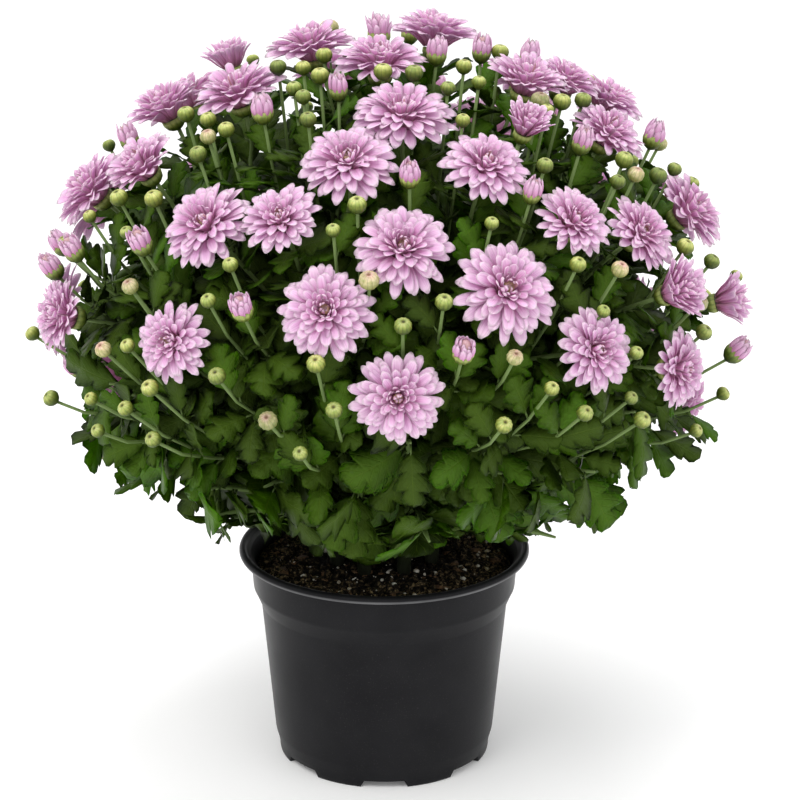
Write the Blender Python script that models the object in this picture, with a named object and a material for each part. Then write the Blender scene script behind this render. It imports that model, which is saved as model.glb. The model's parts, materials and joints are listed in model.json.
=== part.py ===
"""A pot chrysanthemum: a black nursery pot, its soil, nine leafy stems and forty-eight double blooms.

Metres, +Z up. The origin is the middle of the pot's foot, on the surface that the pot stands on.
The front of the plant faces -Y.
"""

import math
import random

import bmesh
import bpy
from mathutils import Matrix, Quaternion, Vector
from mathutils.bvhtree import BVHTree

SEED = 41
CLEARANCE = 0.0003
FLAT_ANGLE = 0.009

# Pot
POT_HEIGHT = 0.1245
RIM_RADIUS = 0.0825
RIM_INNER_RADIUS = 0.0780
LIP_HEIGHT = 0.0042
COLLAR_RADII = (0.0760, 0.0746)
COLLAR_BOTTOM = 0.1010
WALL_RADII = (0.0703, 0.0628)
WALL_TOP = 0.0921
WALL_BOTTOM = 0.0132
FOOT_RADIUS = 0.0606
FOOT_WIDTH = 0.0060
FOOT_HEIGHT = 0.0055
WALL_THICKNESS = 0.0018
FLOOR_TOP = 0.0075
INNER_FOOT_RADIUS = 0.0598
STEP_RISE = 0.0010
POT_SIDES = 28
NOTCHES = 7
NOTCH_WIDTH = 0.0250
NOTCH_HEIGHT = 0.0042
DRAIN_RADIUS = 0.0045
DRAIN_CIRCLE = 0.0440

# Soil
SOIL_LEVEL = 0.1125
SOIL_MOUND = 0.0040
SOIL_GAP = 0.0010
SOIL_SIDES = 18
HOLE_DEPTH = 0.0200

# Dome that the open blooms lie on
DOME_RADIUS = 0.1880
DOME_HALF_HEIGHT = 0.1500
DOME_MIDDLE = Vector((0.0, 0.0, 0.2650))
LEAN_TO_LIGHT = 0.16

# The eye that saw the front of the plant, and the picture's scale, in picture units to one radian
EYE = Vector((0.0, -1.3975, 0.6694))
EYE_PITCH = math.radians(18.19)
EYE_SCALE = 2629.0
EYE_CENTRE = (384.2, 400.0)
# The distance from the eye at which the widths of flowers were read
WIDTHS_READ_AT = 1.473

# Open blooms as the eye saw them: place across and down the picture, real width, how far open
SEEN_BLOOMS = (
    (403, 246, 0.054, 1.00), (508, 288, 0.058, 1.00), (325, 310, 0.053, 1.00), (398, 398, 0.051, 1.00),
    (205, 222, 0.054, 1.00), (348, 158, 0.055, 1.00), (403, 110, 0.057, 1.00), (487, 163, 0.050, 1.00),
    (280, 218, 0.044, 0.90), (170, 341, 0.046, 1.00), (597, 350, 0.048, 0.95), (575, 221, 0.045, 0.90),
    (642, 232, 0.045, 0.90), (691, 210, 0.048, 0.95), (609, 131, 0.045, 0.90), (380, 58, 0.052, 1.00),
    (311, 44, 0.050, 1.00), (237, 90, 0.050, 0.95), (166, 107, 0.042, 0.80), (142, 165, 0.042, 0.85),
    (90, 188, 0.048, 1.00), (62, 315, 0.042, 0.85), (680, 369, 0.044, 0.90), (527, 80, 0.044, 0.75),
    (608, 98, 0.044, 1.00), (436, 32, 0.050, 0.70), (230, 60, 0.031, 0.40), (674, 292, 0.034, 0.50),
    (724, 301, 0.030, 0.40), (526, 126, 0.029, 0.40), (566, 80, 0.040, 0.85),
)
# Half open buds: place in the picture and width across the pink
SEEN_HALF_OPEN = (
    (377, 30, 0.018), (437, 50, 0.015), (262, 108, 0.017), (338, 86, 0.012), (128, 136, 0.014),
    (140, 241, 0.017), (72, 248, 0.015), (51, 266, 0.015), (241, 307, 0.017), (410, 173, 0.015),
    (464, 350, 0.015), (583, 140, 0.014), (655, 134, 0.016), (738, 350, 0.016), (482, 48, 0.013),
    (530, 54, 0.014), (268, 421, 0.012), (369, 281, 0.012), (533, 190, 0.012), (515, 357, 0.012),
)
# Green buds: place in the picture
SEEN_BUDS = (
    (32, 333), (51, 398), (130, 286), (230, 264), (208, 300), (217, 376), (153, 439), (97, 430),
    (300, 453), (333, 229), (403, 326), (444, 302), (492, 222), (504, 425), (334, 410), (604, 310),
    (637, 352), (585, 413), (697, 430), (724, 393), (737, 275), (675, 168), (545, 165), (464, 66),
)

# The far side, which the eye didn't see, is filled by rule
BACK_BLOOMS = 17
BACK_HALF_OPEN = 5
BACK_BUDS = 6
BACK_CANDIDATES = 500
UNSEEN_FROM = 0.14
LOWEST_BLOOM = -0.45
LOWEST_BUD = -0.62
GOLDEN_ANGLE = math.radians(137.508)

# Blooms
PETALS = 8
PETAL_LAYERS = (
    # tip radius, tip height, notch radius, notch height, inner ring radius, inner ring height
    (1.00, 0.20, 0.60, 0.15, 0.44, 0.23),
    (0.78, 0.40, 0.46, 0.33, 0.27, 0.38),
    (0.50, 0.54, 0.28, 0.48, None, None),
)
BLOOM_CENTRE_HEIGHT = 0.44
CLOSED_LIFT = 0.80
BLOOM_SEAT = 0.22

# Stems
SECTORS = 8
STEM_SIDES = 5
STEM_RADIUS = 0.0040
STEM_TIP_RADIUS = 0.0022
STEM_CIRCLE = 0.0290
STEM_TIP_CIRCLE = 0.1060
STEM_TIP_HEIGHT = 0.2750
MIDDLE_STEM_HEIGHT = 0.3350
STALK_RADIUS = 0.0014
CALYX_RADIUS = 0.0068
CALYX_HEIGHT = 0.0070
BUD_RADIUS = 0.0050
BUD_DOME = 1.03
DEPTHS = (0.0, -0.006, 0.006, -0.012, 0.010, -0.018, 0.014, -0.024, -0.030, -0.036)
STALK_LENGTH = 0.0880
SPOTS_PER_RUN = 5
BUD_DEPTHS = (0.0, 0.006, -0.006, 0.012)
MIDDLE_SHARE = 0.056

# Leaves
LEAF_LENGTH = 0.0340
LEAF_HALF_WIDTH = 0.42
LEAF_RIB = 0.0007
ROOT_HALF = 0.0004
# A leaf's outline as shares of its length along the midrib and of its half width: two lobes and a cut
LEAF_OUTLINE = ((0.00, 0.08), (0.24, 0.80), (0.42, 0.34), (0.66, 1.00))
LEAF_RIB_PLACE = 0.50
PETIOLE = 0.0085
LEAVES_ON_STALKS = 48
LEAVES_ON_SHOOTS = 38
LEAF_TRIES = 9
LEAF_SIZES = (0.85, 1.10)
LEAF_SHARES_ON_SHOOTS = (0.45, 1.0)
LEAF_SHARES_ON_STALKS = (0.25, 0.80)
LEAF_HANG_ON_SHOOTS = (0.4, 1.1)
LEAF_HANG_ON_STALKS = (0.0, 0.1)
LEAF_DROOP = (0.1, 0.4)
LEAF_FOLD = 0.045
SHOOTS_PER_SECTOR = 2
SHOOT_TRIES = 8
SHOOT_REACH = (0.090, 0.132)
SHOOT_HEIGHT = (0.170, 0.212)
SHOOT_TIP_RADIUS = 0.0007

PINK = (0.68, 0.36, 0.56)
LEAF_GREEN = (0.060, 0.140, 0.030)
POT_BLACK = (0.012, 0.012, 0.013)
SOIL_BROWN = (0.030, 0.018, 0.011)


def clear_scene():
    for obj in list(bpy.data.objects):
        bpy.data.objects.remove(obj)


def material(name, colour, roughness):
    made = bpy.data.materials.new(name)
    made.use_nodes = True
    shader = made.node_tree.nodes["Principled BSDF"]
    shader.inputs["Base Color"].default_value = (*colour, 1.0)
    shader.inputs["Roughness"].default_value = roughness
    shader.inputs["Metallic"].default_value = 0.0
    return made


def object_of(name, mesh, finishes=()):
    obj = bpy.data.objects.new(name, mesh)
    bpy.context.scene.collection.objects.link(obj)
    for finish in finishes:
        obj.data.materials.append(finish)
    return obj


def mesh_of(name, points, faces):
    """A closed mesh of these points and faces, with its normals out and its faces in triangles."""
    mesh = bpy.data.meshes.new(name)
    mesh.from_pydata([tuple(p) for p in points], [], faces)
    work = bmesh.new()
    work.from_mesh(mesh)
    bmesh.ops.triangulate(work, faces=work.faces[:])
    bmesh.ops.recalc_face_normals(work, faces=work.faces[:])
    work.to_mesh(mesh)
    work.free()
    return mesh


def circle(sides, radius, height, turn=0.0):
    step = 2 * math.pi / sides
    return [
        Vector((radius * math.cos(turn + i * step), radius * math.sin(turn + i * step), height))
        for i in range(sides)
    ]


def joined_rings(rings):
    """Points and triangles of the skin through rings of 1, n or 2n points each, in order."""
    points = [p for ring in rings for p in ring]
    faces = []
    start = 0
    for ring, following in zip(rings, rings[1:]):
        a, b = len(ring), len(following)
        first = start
        second = start + a
        if a == 1:
            faces += [(first, second + i, second + (i + 1) % b) for i in range(b)]
        elif b == 1:
            faces += [(first + i, second, first + (i + 1) % a) for i in range(a)]
        elif a == b:
            for i in range(a):
                j = (i + 1) % a
                faces.append((first + i, second + i, second + j))
                faces.append((first + i, second + j, first + j))
        else:
            few, many = (first, second) if a < b else (second, first)
            n = min(a, b)
            for i in range(n):
                j = (i + 1) % n
                left, middle, right = many + 2 * i, many + 2 * i + 1, many + 2 * j
                faces.append((few + i, left, middle))
                faces.append((few + i, middle, few + j))
                faces.append((few + j, middle, right))
        start = second
    return points, faces


def turned(name, profile, sides, turn=0.0):
    """A closed solid turned round Z from a profile of (radius, height), which may touch the axis."""
    rings = [
        [Vector((0, 0, height))] if radius == 0 else circle(sides, radius, height, turn)
        for radius, height in profile
    ]
    return mesh_of(name, *joined_rings(rings))


def combine(obj, others, operation, solver="EXACT"):
    """Applies one Boolean with a collection of helpers, and removes the helpers."""
    helpers = bpy.data.collections.new(obj.name + "_helpers")
    bpy.context.scene.collection.children.link(helpers)
    for other in others:
        helpers.objects.link(other)
    modifier = obj.modifiers.new("combine", "BOOLEAN")
    modifier.operation = operation
    modifier.solver = solver
    modifier.operand_type = "COLLECTION"
    modifier.collection = helpers
    bpy.context.view_layer.update()
    graph = bpy.context.evaluated_depsgraph_get()
    joined = bpy.data.meshes.new_from_object(obj.evaluated_get(graph))
    obj.modifiers.remove(modifier)
    obj.data = joined
    for other in others:
        bpy.data.objects.remove(other)
    bpy.data.collections.remove(helpers)


def drop_scraps(mesh):
    """Drops loose scraps, so that the mesh is one body."""
    work = bmesh.new()
    work.from_mesh(mesh)
    unseen = set(work.verts)
    bodies = []
    while unseen:
        body = set()
        front = [unseen.pop()]
        while front:
            vert = front.pop()
            body.add(vert)
            for edge in vert.link_edges:
                other = edge.other_vert(vert)
                if other in unseen:
                    unseen.discard(other)
                    front.append(other)
        bodies.append(body)
    bodies.sort(key=len)
    scraps = [vert for body in bodies[:-1] for vert in body]
    bmesh.ops.delete(work, geom=scraps, context="VERTS")
    work.to_mesh(mesh)
    work.free()


def join_flat_faces(mesh):
    """Joins the flat slivers that a Boolean leaves."""
    work = bmesh.new()
    work.from_mesh(mesh)
    bmesh.ops.dissolve_limit(work, angle_limit=FLAT_ANGLE, verts=work.verts[:], edges=work.edges[:])
    bmesh.ops.triangulate(work, faces=work.faces[:])
    work.to_mesh(mesh)
    work.free()


# Pot and soil
def pot_profile():
    inner_foot = FOOT_RADIUS - FOOT_WIDTH
    return (
        (0, FOOT_HEIGHT),
        (inner_foot, FOOT_HEIGHT),
        (inner_foot, 0.0),
        (FOOT_RADIUS - 0.0008, 0.0),
        (FOOT_RADIUS, 0.0020),
        (WALL_RADII[1] - 0.0014, WALL_BOTTOM - 0.0050),
        (WALL_RADII[1], WALL_BOTTOM),
        (WALL_RADII[0], WALL_TOP),
        (COLLAR_RADII[1], COLLAR_BOTTOM),
        (COLLAR_RADII[0], POT_HEIGHT - LIP_HEIGHT - 0.0006),
        (RIM_RADIUS - 0.0012, POT_HEIGHT - LIP_HEIGHT),
        (RIM_RADIUS, POT_HEIGHT - 0.0020),
        (RIM_RADIUS - 0.0018, POT_HEIGHT),
        (RIM_INNER_RADIUS + 0.0006, POT_HEIGHT - 0.0004),
        (COLLAR_RADII[0] - WALL_THICKNESS, POT_HEIGHT - LIP_HEIGHT - 0.0006),
        (COLLAR_RADII[1] - WALL_THICKNESS, COLLAR_BOTTOM + STEP_RISE),
        (WALL_RADII[0] - WALL_THICKNESS, WALL_TOP + STEP_RISE),
        (INNER_FOOT_RADIUS, FLOOR_TOP),
        (0, FLOOR_TOP),
    )


def pot(finish):
    shape = object_of("pot", turned("pot", pot_profile(), POT_SIDES), [finish])
    cutters = []
    for i in range(NOTCHES):
        angle = -math.pi / 2 + i * 2 * math.pi / NOTCHES
        spin = Matrix.Rotation(angle, 4, "Z")
        reach = FOOT_RADIUS + 0.0100
        half = NOTCH_WIDTH / 2
        block = [
            Vector((x, y, z))
            for z, inset in ((-0.0100, 0.0), (NOTCH_HEIGHT, 0.0015))
            for x, y in (
                (DRAIN_CIRCLE, -half + inset),
                (reach, -half + inset),
                (reach, half - inset),
                (DRAIN_CIRCLE, half - inset),
            )
        ]
        notch = mesh_of("notch", *joined_rings([[block[0].lerp(block[2], 0.5)], block[:4], block[4:],
                                                [block[4].lerp(block[6], 0.5)]]))
        drain = turned("drain", ((0, -0.01), (DRAIN_RADIUS, -0.01), (DRAIN_RADIUS, 0.03), (0, 0.03)), 6)
        drain.transform(Matrix.Translation((DRAIN_CIRCLE, 0, 0)))
        spread = Matrix.Rotation(angle + math.pi / NOTCHES, 4, "Z")
        notch.transform(spin)
        drain.transform(spread)
        cutters += [object_of("notch", notch), object_of("drain", drain)]
    combine(shape, cutters, "DIFFERENCE")
    join_flat_faces(shape.data)
    shape.data.shade_smooth()
    shape.data.set_sharp_from_angle(angle=math.radians(30))
    return shape


def soil_height(x, y):
    """Crumbly peat: a low mound with lumps."""
    r = math.hypot(x, y) / RIM_INNER_RADIUS
    lumps = math.sin(310 * x + 1.3) * math.cos(270 * y - 0.6) + 0.6 * math.sin(520 * (x + y) + 2.0)
    return SOIL_LEVEL + SOIL_MOUND * (1 - r * r) + 0.0007 * lumps


def soil(finish, holes):
    """A plug that fills the pot, clear of its wall, with a plain hole for each stem."""
    bottom = FLOOR_TOP + CLEARANCE
    rings = [
        [Vector((0, 0, bottom))],
        circle(SOIL_SIDES, INNER_FOOT_RADIUS - SOIL_GAP, bottom),
        circle(SOIL_SIDES, WALL_RADII[0] - WALL_THICKNESS - SOIL_GAP, WALL_TOP + STEP_RISE),
        circle(SOIL_SIDES, COLLAR_RADII[1] - WALL_THICKNESS - SOIL_GAP, COLLAR_BOTTOM + STEP_RISE),
    ]
    for share in (0.985, 0.62):
        radius = share * (COLLAR_RADII[1] - WALL_THICKNESS - SOIL_GAP)
        rings.append([Vector((p.x, p.y, soil_height(p.x, p.y)))
                      for p in circle(SOIL_SIDES, radius, 0.0, share)])
    rings.append([Vector((0, 0, soil_height(0, 0)))])
    shape = object_of("soil", mesh_of("soil", *joined_rings(rings)), [finish])
    cutters = []
    for x, y in holes:
        hole_radius = (STEM_RADIUS + 2 * CLEARANCE) / math.cos(math.pi / 6)
        low = SOIL_LEVEL - HOLE_DEPTH
        cutter = turned("hole", ((0, low), (hole_radius, low), (hole_radius, 0.14), (0, 0.14)), 6)
        cutter.transform(Matrix.Translation((x, y, 0)))
        cutters.append(object_of("hole", cutter))
    combine(shape, cutters, "DIFFERENCE")
    join_flat_faces(shape.data)
    return shape


# Places on the dome
def sight_direction(across, down):
    ahead = Vector((0, math.cos(EYE_PITCH), -math.sin(EYE_PITCH)))
    upward = Vector((0, math.sin(EYE_PITCH), math.cos(EYE_PITCH)))
    sight = ahead * EYE_SCALE + upward * (EYE_CENTRE[1] - down)
    sight.x = across - EYE_CENTRE[0]
    return sight.normalized()


def in_dome_units(point):
    p = point - DOME_MIDDLE
    return Vector((p.x / DOME_RADIUS, p.y / DOME_RADIUS, p.z / DOME_HALF_HEIGHT))


def from_dome_units(p):
    return DOME_MIDDLE + Vector((p.x * DOME_RADIUS, p.y * DOME_RADIUS, p.z * DOME_HALF_HEIGHT))


def seen_on_dome(across, down, size=1.0):
    """Where the sight line meets the dome first, or else the point of the line nearest to it."""
    sight = sight_direction(across, down)
    start = in_dome_units(EYE)
    along = in_dome_units(EYE + sight) - start
    a = along.length_squared
    b = along.dot(start)
    c = start.length_squared - size * size
    inside = b * b - a * c
    distance = (-b - math.sqrt(inside)) / a if inside > 0 else -b / a
    return EYE + sight * distance


def outward(point):
    """The dome's normal at a point, lifted a little towards the light."""
    p = in_dome_units(point)
    normal = Vector((p.x / DOME_RADIUS, p.y / DOME_RADIUS, p.z / DOME_HALF_HEIGHT)).normalized()
    return (normal + Vector((0, 0, LEAN_TO_LIGHT))).normalized()


def back_places(count, taken, lowest, size):
    """Places on the unseen side: each next one is as far as can be from all that are taken."""
    candidates = []
    for i in range(BACK_CANDIDATES):
        height = 1 - (1 - lowest) * (i + 0.5) / BACK_CANDIDATES
        angle = i * GOLDEN_ANGLE
        flat = math.sqrt(1 - height * height)
        p = from_dome_units(size * Vector((flat * math.cos(angle), flat * math.sin(angle), height)))
        if (p - DOME_MIDDLE).normalized().dot(sight_direction(*EYE_CENTRE)) > UNSEEN_FROM:
            candidates.append(p)
    places = []
    for _ in range(count):
        place = max(candidates, key=lambda p: min((p - q).length for q in taken + places))
        places.append(place)
    return places


# Blooms
def raised(angle, open_share):
    """The rise of a petal that stands at this angle in a bloom that is fully open."""
    return angle + (math.pi / 2 - angle) * (1 - open_share) * CLOSED_LIFT


def opened(radius, height, width, open_share):
    """A petal point for a bloom of this width: a bloom that is less open has its petals raised."""
    first_tip = math.atan2(PETAL_LAYERS[0][1], PETAL_LAYERS[0][0])
    size = width / 2 / math.cos(raised(first_tip, open_share))
    rise = raised(math.atan2(height, radius), open_share)
    reach = math.hypot(radius, height) * size
    return reach * math.cos(rise), reach * math.sin(rise)


def bloom_mesh(width, open_share, rng):
    """Three layers of petals as one closed body, facing +Z and seated at its own origin."""
    step = 2 * math.pi / PETALS
    rings = [[Vector((0, 0, 0))]]
    for layer, (tip_r, tip_h, notch_r, notch_h, ring_r, ring_h) in enumerate(PETAL_LAYERS):
        turn = step * 0.5 * layer + rng.uniform(-0.1, 0.1)
        star = []
        for i in range(PETALS):
            stretch = rng.uniform(0.90, 1.04)
            r, h = opened(tip_r * stretch, tip_h * rng.uniform(0.75, 1.25), width, open_share)
            angle = turn + i * step
            star.append(Vector((r * math.cos(angle), r * math.sin(angle), h)))
            r, h = opened(notch_r, notch_h, width, open_share)
            angle += step / 2
            star.append(Vector((r * math.cos(angle), r * math.sin(angle), h)))
        rings.append(star)
        if ring_r:
            r, h = opened(ring_r, ring_h, width, open_share)
            rings.append(circle(PETALS, r, h, turn))
    rings.append([Vector((0, 0, opened(0.0, BLOOM_CENTRE_HEIGHT, width, open_share)[1]))])
    return mesh_of("bloom", *joined_rings(rings))


def facing(point, axis, spin=0.0):
    """The matrix that puts an own origin at point, with own +Z along axis."""
    turn = axis.to_track_quat("Z", "Y").to_matrix().to_4x4()
    return Matrix.Translation(point) @ turn @ Matrix.Rotation(spin, 4, "Z")


# Stems
def bezier(p0, p1, p2, p3, t):
    s = 1 - t
    return p0 * s**3 + p1 * 3 * s * s * t + p2 * 3 * s * t * t + p3 * t**3


def main_stem_path(sector, count=7):
    """Up from the soil, then out towards the middle of its own share of the dome."""
    if sector == SECTORS:
        foot = Vector((0, 0, SOIL_LEVEL))
        tip = Vector((0, 0, MIDDLE_STEM_HEIGHT))
        bend, reach = tip.lerp(foot, 0.6), tip.lerp(foot, 0.3)
    else:
        angle = stem_angle(sector)
        side = Vector((math.cos(angle), math.sin(angle), 0))
        foot = side * STEM_CIRCLE + Vector((0, 0, SOIL_LEVEL))
        tip = side * STEM_TIP_CIRCLE + Vector((0, 0, STEM_TIP_HEIGHT))
        bend, reach = foot + Vector((0, 0, 0.0500)), tip - side * 0.0300 - Vector((0, 0, 0.0600))
    low = foot - Vector((0, 0, HOLE_DEPTH - CLEARANCE))
    high = foot + Vector((0, 0, 0.0060))
    return [low] + [bezier(high, bend, reach, tip, i / (count - 1)) for i in range(count)]


def stem_angle(sector):
    return math.radians(-90 + 360 / SECTORS * (sector + 0.5))


def tube_rings(path, radii, sides, spin=0.0):
    """Rings round a path, each square to it."""
    rings = []
    for i, (point, radius) in enumerate(zip(path, radii)):
        ahead = path[min(i + 1, len(path) - 1)] - path[max(i - 1, 0)]
        place = facing(point, ahead.normalized(), spin)
        rings.append([place @ p for p in circle(sides, radius, 0.0)])
    return rings


def main_stem(path):
    radii = [STEM_RADIUS + (STEM_TIP_RADIUS - STEM_RADIUS) * max(0, i - 1) / (len(path) - 2)
             for i in range(len(path))]
    rings = tube_rings(path, radii, STEM_SIDES)
    return mesh_of("stem", *joined_rings([[path[0]]] + rings + [[path[-1]]]))


def nearest_stem(point):
    """The stem whose share of the dome holds this point."""
    p = point - DOME_MIDDLE
    if math.hypot(p.x, p.y) < MIDDLE_SHARE and p.z > 0:
        return SECTORS
    angle = math.atan2(p.y, p.x)
    return min(range(SECTORS), key=lambda s: abs(math.remainder(angle - stem_angle(s), 2 * math.pi)))


def stalk_path(spot, seat, axis, count=3):
    """From a spot on the main stem to a flower's seat, arriving along the flower's axis."""
    third = (seat - spot).length / 3
    start = (seat - spot).normalized() * 0.6 + Vector((0, 0, 0.4))
    bend, reach = spot + start * third, seat - axis * third
    return [bezier(spot, bend, reach, seat, i / (count - 1)) for i in range(count)]


def flower_stalk(path, axis, heads, green_heads=None):
    """A three-sided stalk along a path, ending in its heads, each a radius and a height along the axis.

    Where only the first heads are green, the faces past them have the petals' material.
    """
    rings = [[path[0]]] + tube_rings(path, [STALK_RADIUS] * len(path), 3)
    place = facing(path[-1], axis)
    own = place.inverted()
    corner = own @ rings[-1][0]
    turn = math.atan2(corner.y, corner.x)
    rings[-1] = [place @ p for p in circle(3, STALK_RADIUS, 0.0, turn)]
    for radius, height in heads:
        ring = circle(6, radius, height, turn) if radius else [Vector((0, 0, height))]
        rings.append([place @ p for p in ring])
    mesh = mesh_of("stalk", *joined_rings(rings))
    if green_heads:
        first_pink = 1 + 3 * len(path) + 6 * (green_heads - 1)
        for face in mesh.polygons:
            face.material_index = int(min(face.vertices) >= first_pink)
    return mesh


def calyx_heads():
    return (CALYX_RADIUS, CALYX_HEIGHT), (0, CALYX_HEIGHT)


def half_open_heads(width):
    return (width * 0.46, 0.0030), (width * 0.42, 0.0085), (width * 0.50, 0.0185), (0, 0.0150)


def bud_heads(radius):
    return (radius, 0.0044), (radius * 0.60, 0.0088), (0, 0.0082)


# Leaves
def leaf_mesh(length, droop):
    """A lobed blade on a short stalk, along +X with its face up and its root at the origin.

    Its outline runs at each side through a lobe, a cut and a second lobe to the tip.
    """
    def place(along, out, rise):
        x = PETIOLE + along * length
        sag = droop * length * along * along
        return Vector((x, out * length * LEAF_HALF_WIDTH, rise - sag + LEAF_FOLD * abs(out) * length))

    root = [Vector((0, y, z)) for y, z in ((0, ROOT_HALF), (-ROOT_HALF, 0), (0, -ROOT_HALF), (ROOT_HALF, 0))]
    left = [place(x, y, 0.0) for x, y in LEAF_OUTLINE]
    right = [place(x, -y, 0.0) for x, y in LEAF_OUTLINE]
    middle = [place(LEAF_RIB_PLACE, 0, LEAF_RIB), place(LEAF_RIB_PLACE, 0, -LEAF_RIB), place(1.0, 0, 0.0)]
    points = root + left + right + middle
    size = len(LEAF_OUTLINE)
    lefts = range(4, 4 + size)
    rights = range(4 + size, 4 + 2 * size)
    top, under, tip = range(4 + 2 * size, 7 + 2 * size)
    faces = [(0, 1, 2), (0, 2, 3)]
    for (base, lobe, cut, high_lobe), rib, (ridge, side) in (
        (lefts, top, (0, 3)), (rights, top, (0, 1)), (lefts, under, (2, 3)), (rights, under, (2, 1))
    ):
        faces += [(ridge, side, base), (ridge, base, rib), (base, lobe, rib), (lobe, cut, rib),
                  (cut, high_lobe, rib), (high_lobe, tip, rib)]
    return mesh_of("leaf", points, faces)


def leaf_place(root, along, face):
    x = along.normalized()
    y = face.cross(x).normalized()
    z = x.cross(y)
    return Matrix.Translation(root) @ Matrix((x, y, z)).transposed().to_4x4()


# Building the plant
class Placed:
    """The solids that are set so far, each with a tree for finding what crosses it."""

    def __init__(self):
        self.entries = []

    def shape(self, mesh):
        points = [v.co for v in mesh.vertices]
        low = Vector([min(p[k] for p in points) for k in range(3)])
        high = Vector([max(p[k] for p in points) for k in range(3)])
        return low, high, BVHTree.FromPolygons(points, [tuple(p.vertices) for p in mesh.polygons])

    def crosses(self, mesh, own=()):
        """Whether this mesh crosses a solid whose tag doesn't start with its own."""
        low, high, tree = self.shape(mesh)
        for tag, other_low, other_high, other in self.entries:
            if own and tag[: len(own)] == own:
                continue
            apart = any(low[k] > other_high[k] or high[k] < other_low[k] for k in range(3))
            if not apart and tree.overlap(other):
                return True
        return False

    def add(self, tag, mesh):
        self.entries.append((tag, *self.shape(mesh)))


def real_width(point, width):
    """A width read at the usual distance, made right for a flower that is nearer the eye or farther off."""
    return width * (point - EYE).length / WIDTHS_READ_AT


def bloom_places():
    places = [(seen_on_dome(x, y), width, share) for x, y, width, share in SEEN_BLOOMS]
    seen = [(point, real_width(point, width), share) for point, width, share in places]
    taken = [point for point, _, _ in seen]
    rng = random.Random(SEED)
    hidden = back_places(BACK_BLOOMS, taken, LOWEST_BLOOM, 1.0)
    return seen + [(p, rng.uniform(0.042, 0.056), rng.choice((1.0, 1.0, 0.95, 0.85))) for p in hidden]


def bud_places(taken):
    """Half open buds with their widths, and green buds with none, on the dome and a little above it."""
    places = [(seen_on_dome(x, y, BUD_DOME), width) for x, y, width in SEEN_HALF_OPEN]
    seen = [(point, real_width(point, width)) for point, width in places]
    seen += [(seen_on_dome(x, y, BUD_DOME), 0) for x, y in SEEN_BUDS]
    taken = taken + [point for point, _ in seen]
    rng = random.Random(SEED + 1)
    hidden = back_places(BACK_HALF_OPEN + BACK_BUDS, taken, LOWEST_BUD, BUD_DOME)
    widths = [rng.uniform(0.012, 0.017) if i % 5 in (1, 3) else 0 for i in range(len(hidden))]
    return seen + list(zip(hidden, widths))


def set_blooms(placed, rng):
    """Each bloom's mesh and the seat under it, moved in or out along its axis where two would cross."""
    blooms = []
    for number, (point, width, share) in enumerate(bloom_places()):
        axis = outward(point)
        spin = rng.uniform(0, 2 * math.pi)
        shape = bloom_mesh(width, share, rng)
        for depth in DEPTHS:
            centre = point + axis * (depth - BLOOM_SEAT * width)
            mesh = shape.copy()
            mesh.transform(facing(centre, axis, spin))
            if not placed.crosses(mesh):
                break
        placed.add(("bloom", number), mesh)
        blooms.append((mesh, centre, axis))
    return blooms


class Piece:
    """A stalk, shoot or leaf: its stem's number, its tag among the placed solids, its path and its mesh."""

    def __init__(self, sector, tag, path, mesh):
        self.sector = sector
        self.tag = tag
        self.path = path
        self.mesh = mesh


class Spots:
    """Free places along each main stem, a few millimetres apart, where a stalk can start."""

    def __init__(self, paths):
        self.free = [
            [a.lerp(b, t / SPOTS_PER_RUN) for a, b in zip(path[2:], path[3:]) for t in range(SPOTS_PER_RUN)]
            for path in paths
        ]

    def nearest(self, sector, seat):
        """The free spots of a stem, best first: a stalk's usual length away, and not above the seat."""
        return sorted(self.free[sector],
                      key=lambda q: abs((q - seat).length - STALK_LENGTH) + 2 * max(0.0, q.z + 0.02 - seat.z))

    def take(self, sector, spot):
        self.free[sector].remove(spot)


def set_stalk(placed, spots, stalks, point, axis, heads, depths, green_heads=None):
    """A stalk to a flower at this place, from the first spot where it crosses nothing but its stem, or
    else nothing but its stem's own stalks, with which it then grows together."""
    sector = nearest_stem(point)
    for own in (("stem", sector, 0), ("stem", sector)):
        for depth in depths:
            seat = point + axis * depth
            for spot in spots.nearest(sector, seat):
                path = stalk_path(spot, seat, axis)
                mesh = flower_stalk(path, axis, heads, green_heads)
                if not placed.crosses(mesh, own):
                    tag = ("stem", sector, len(stalks) + 1)
                    placed.add(tag, mesh)
                    spots.take(sector, spot)
                    stalks.append(Piece(sector, tag, path, mesh))
                    return


def set_stalks(placed, paths, blooms):
    """A stalk and calyx under each bloom, then the half open and the green buds that find room."""
    stalks = []
    spots = Spots(paths)
    for _, centre, axis in blooms:
        depth = -(CALYX_HEIGHT + CLEARANCE)
        set_stalk(placed, spots, stalks, centre, axis, calyx_heads(), (depth,))
    for point, width in bud_places([centre for _, centre, _ in blooms]):
        heads = half_open_heads(width) if width else bud_heads(BUD_RADIUS)
        depths = [depth - heads[-2][1] for depth in BUD_DEPTHS]
        set_stalk(placed, spots, stalks, point, outward(point), heads, depths, 2 if width else None)
    return stalks


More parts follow.
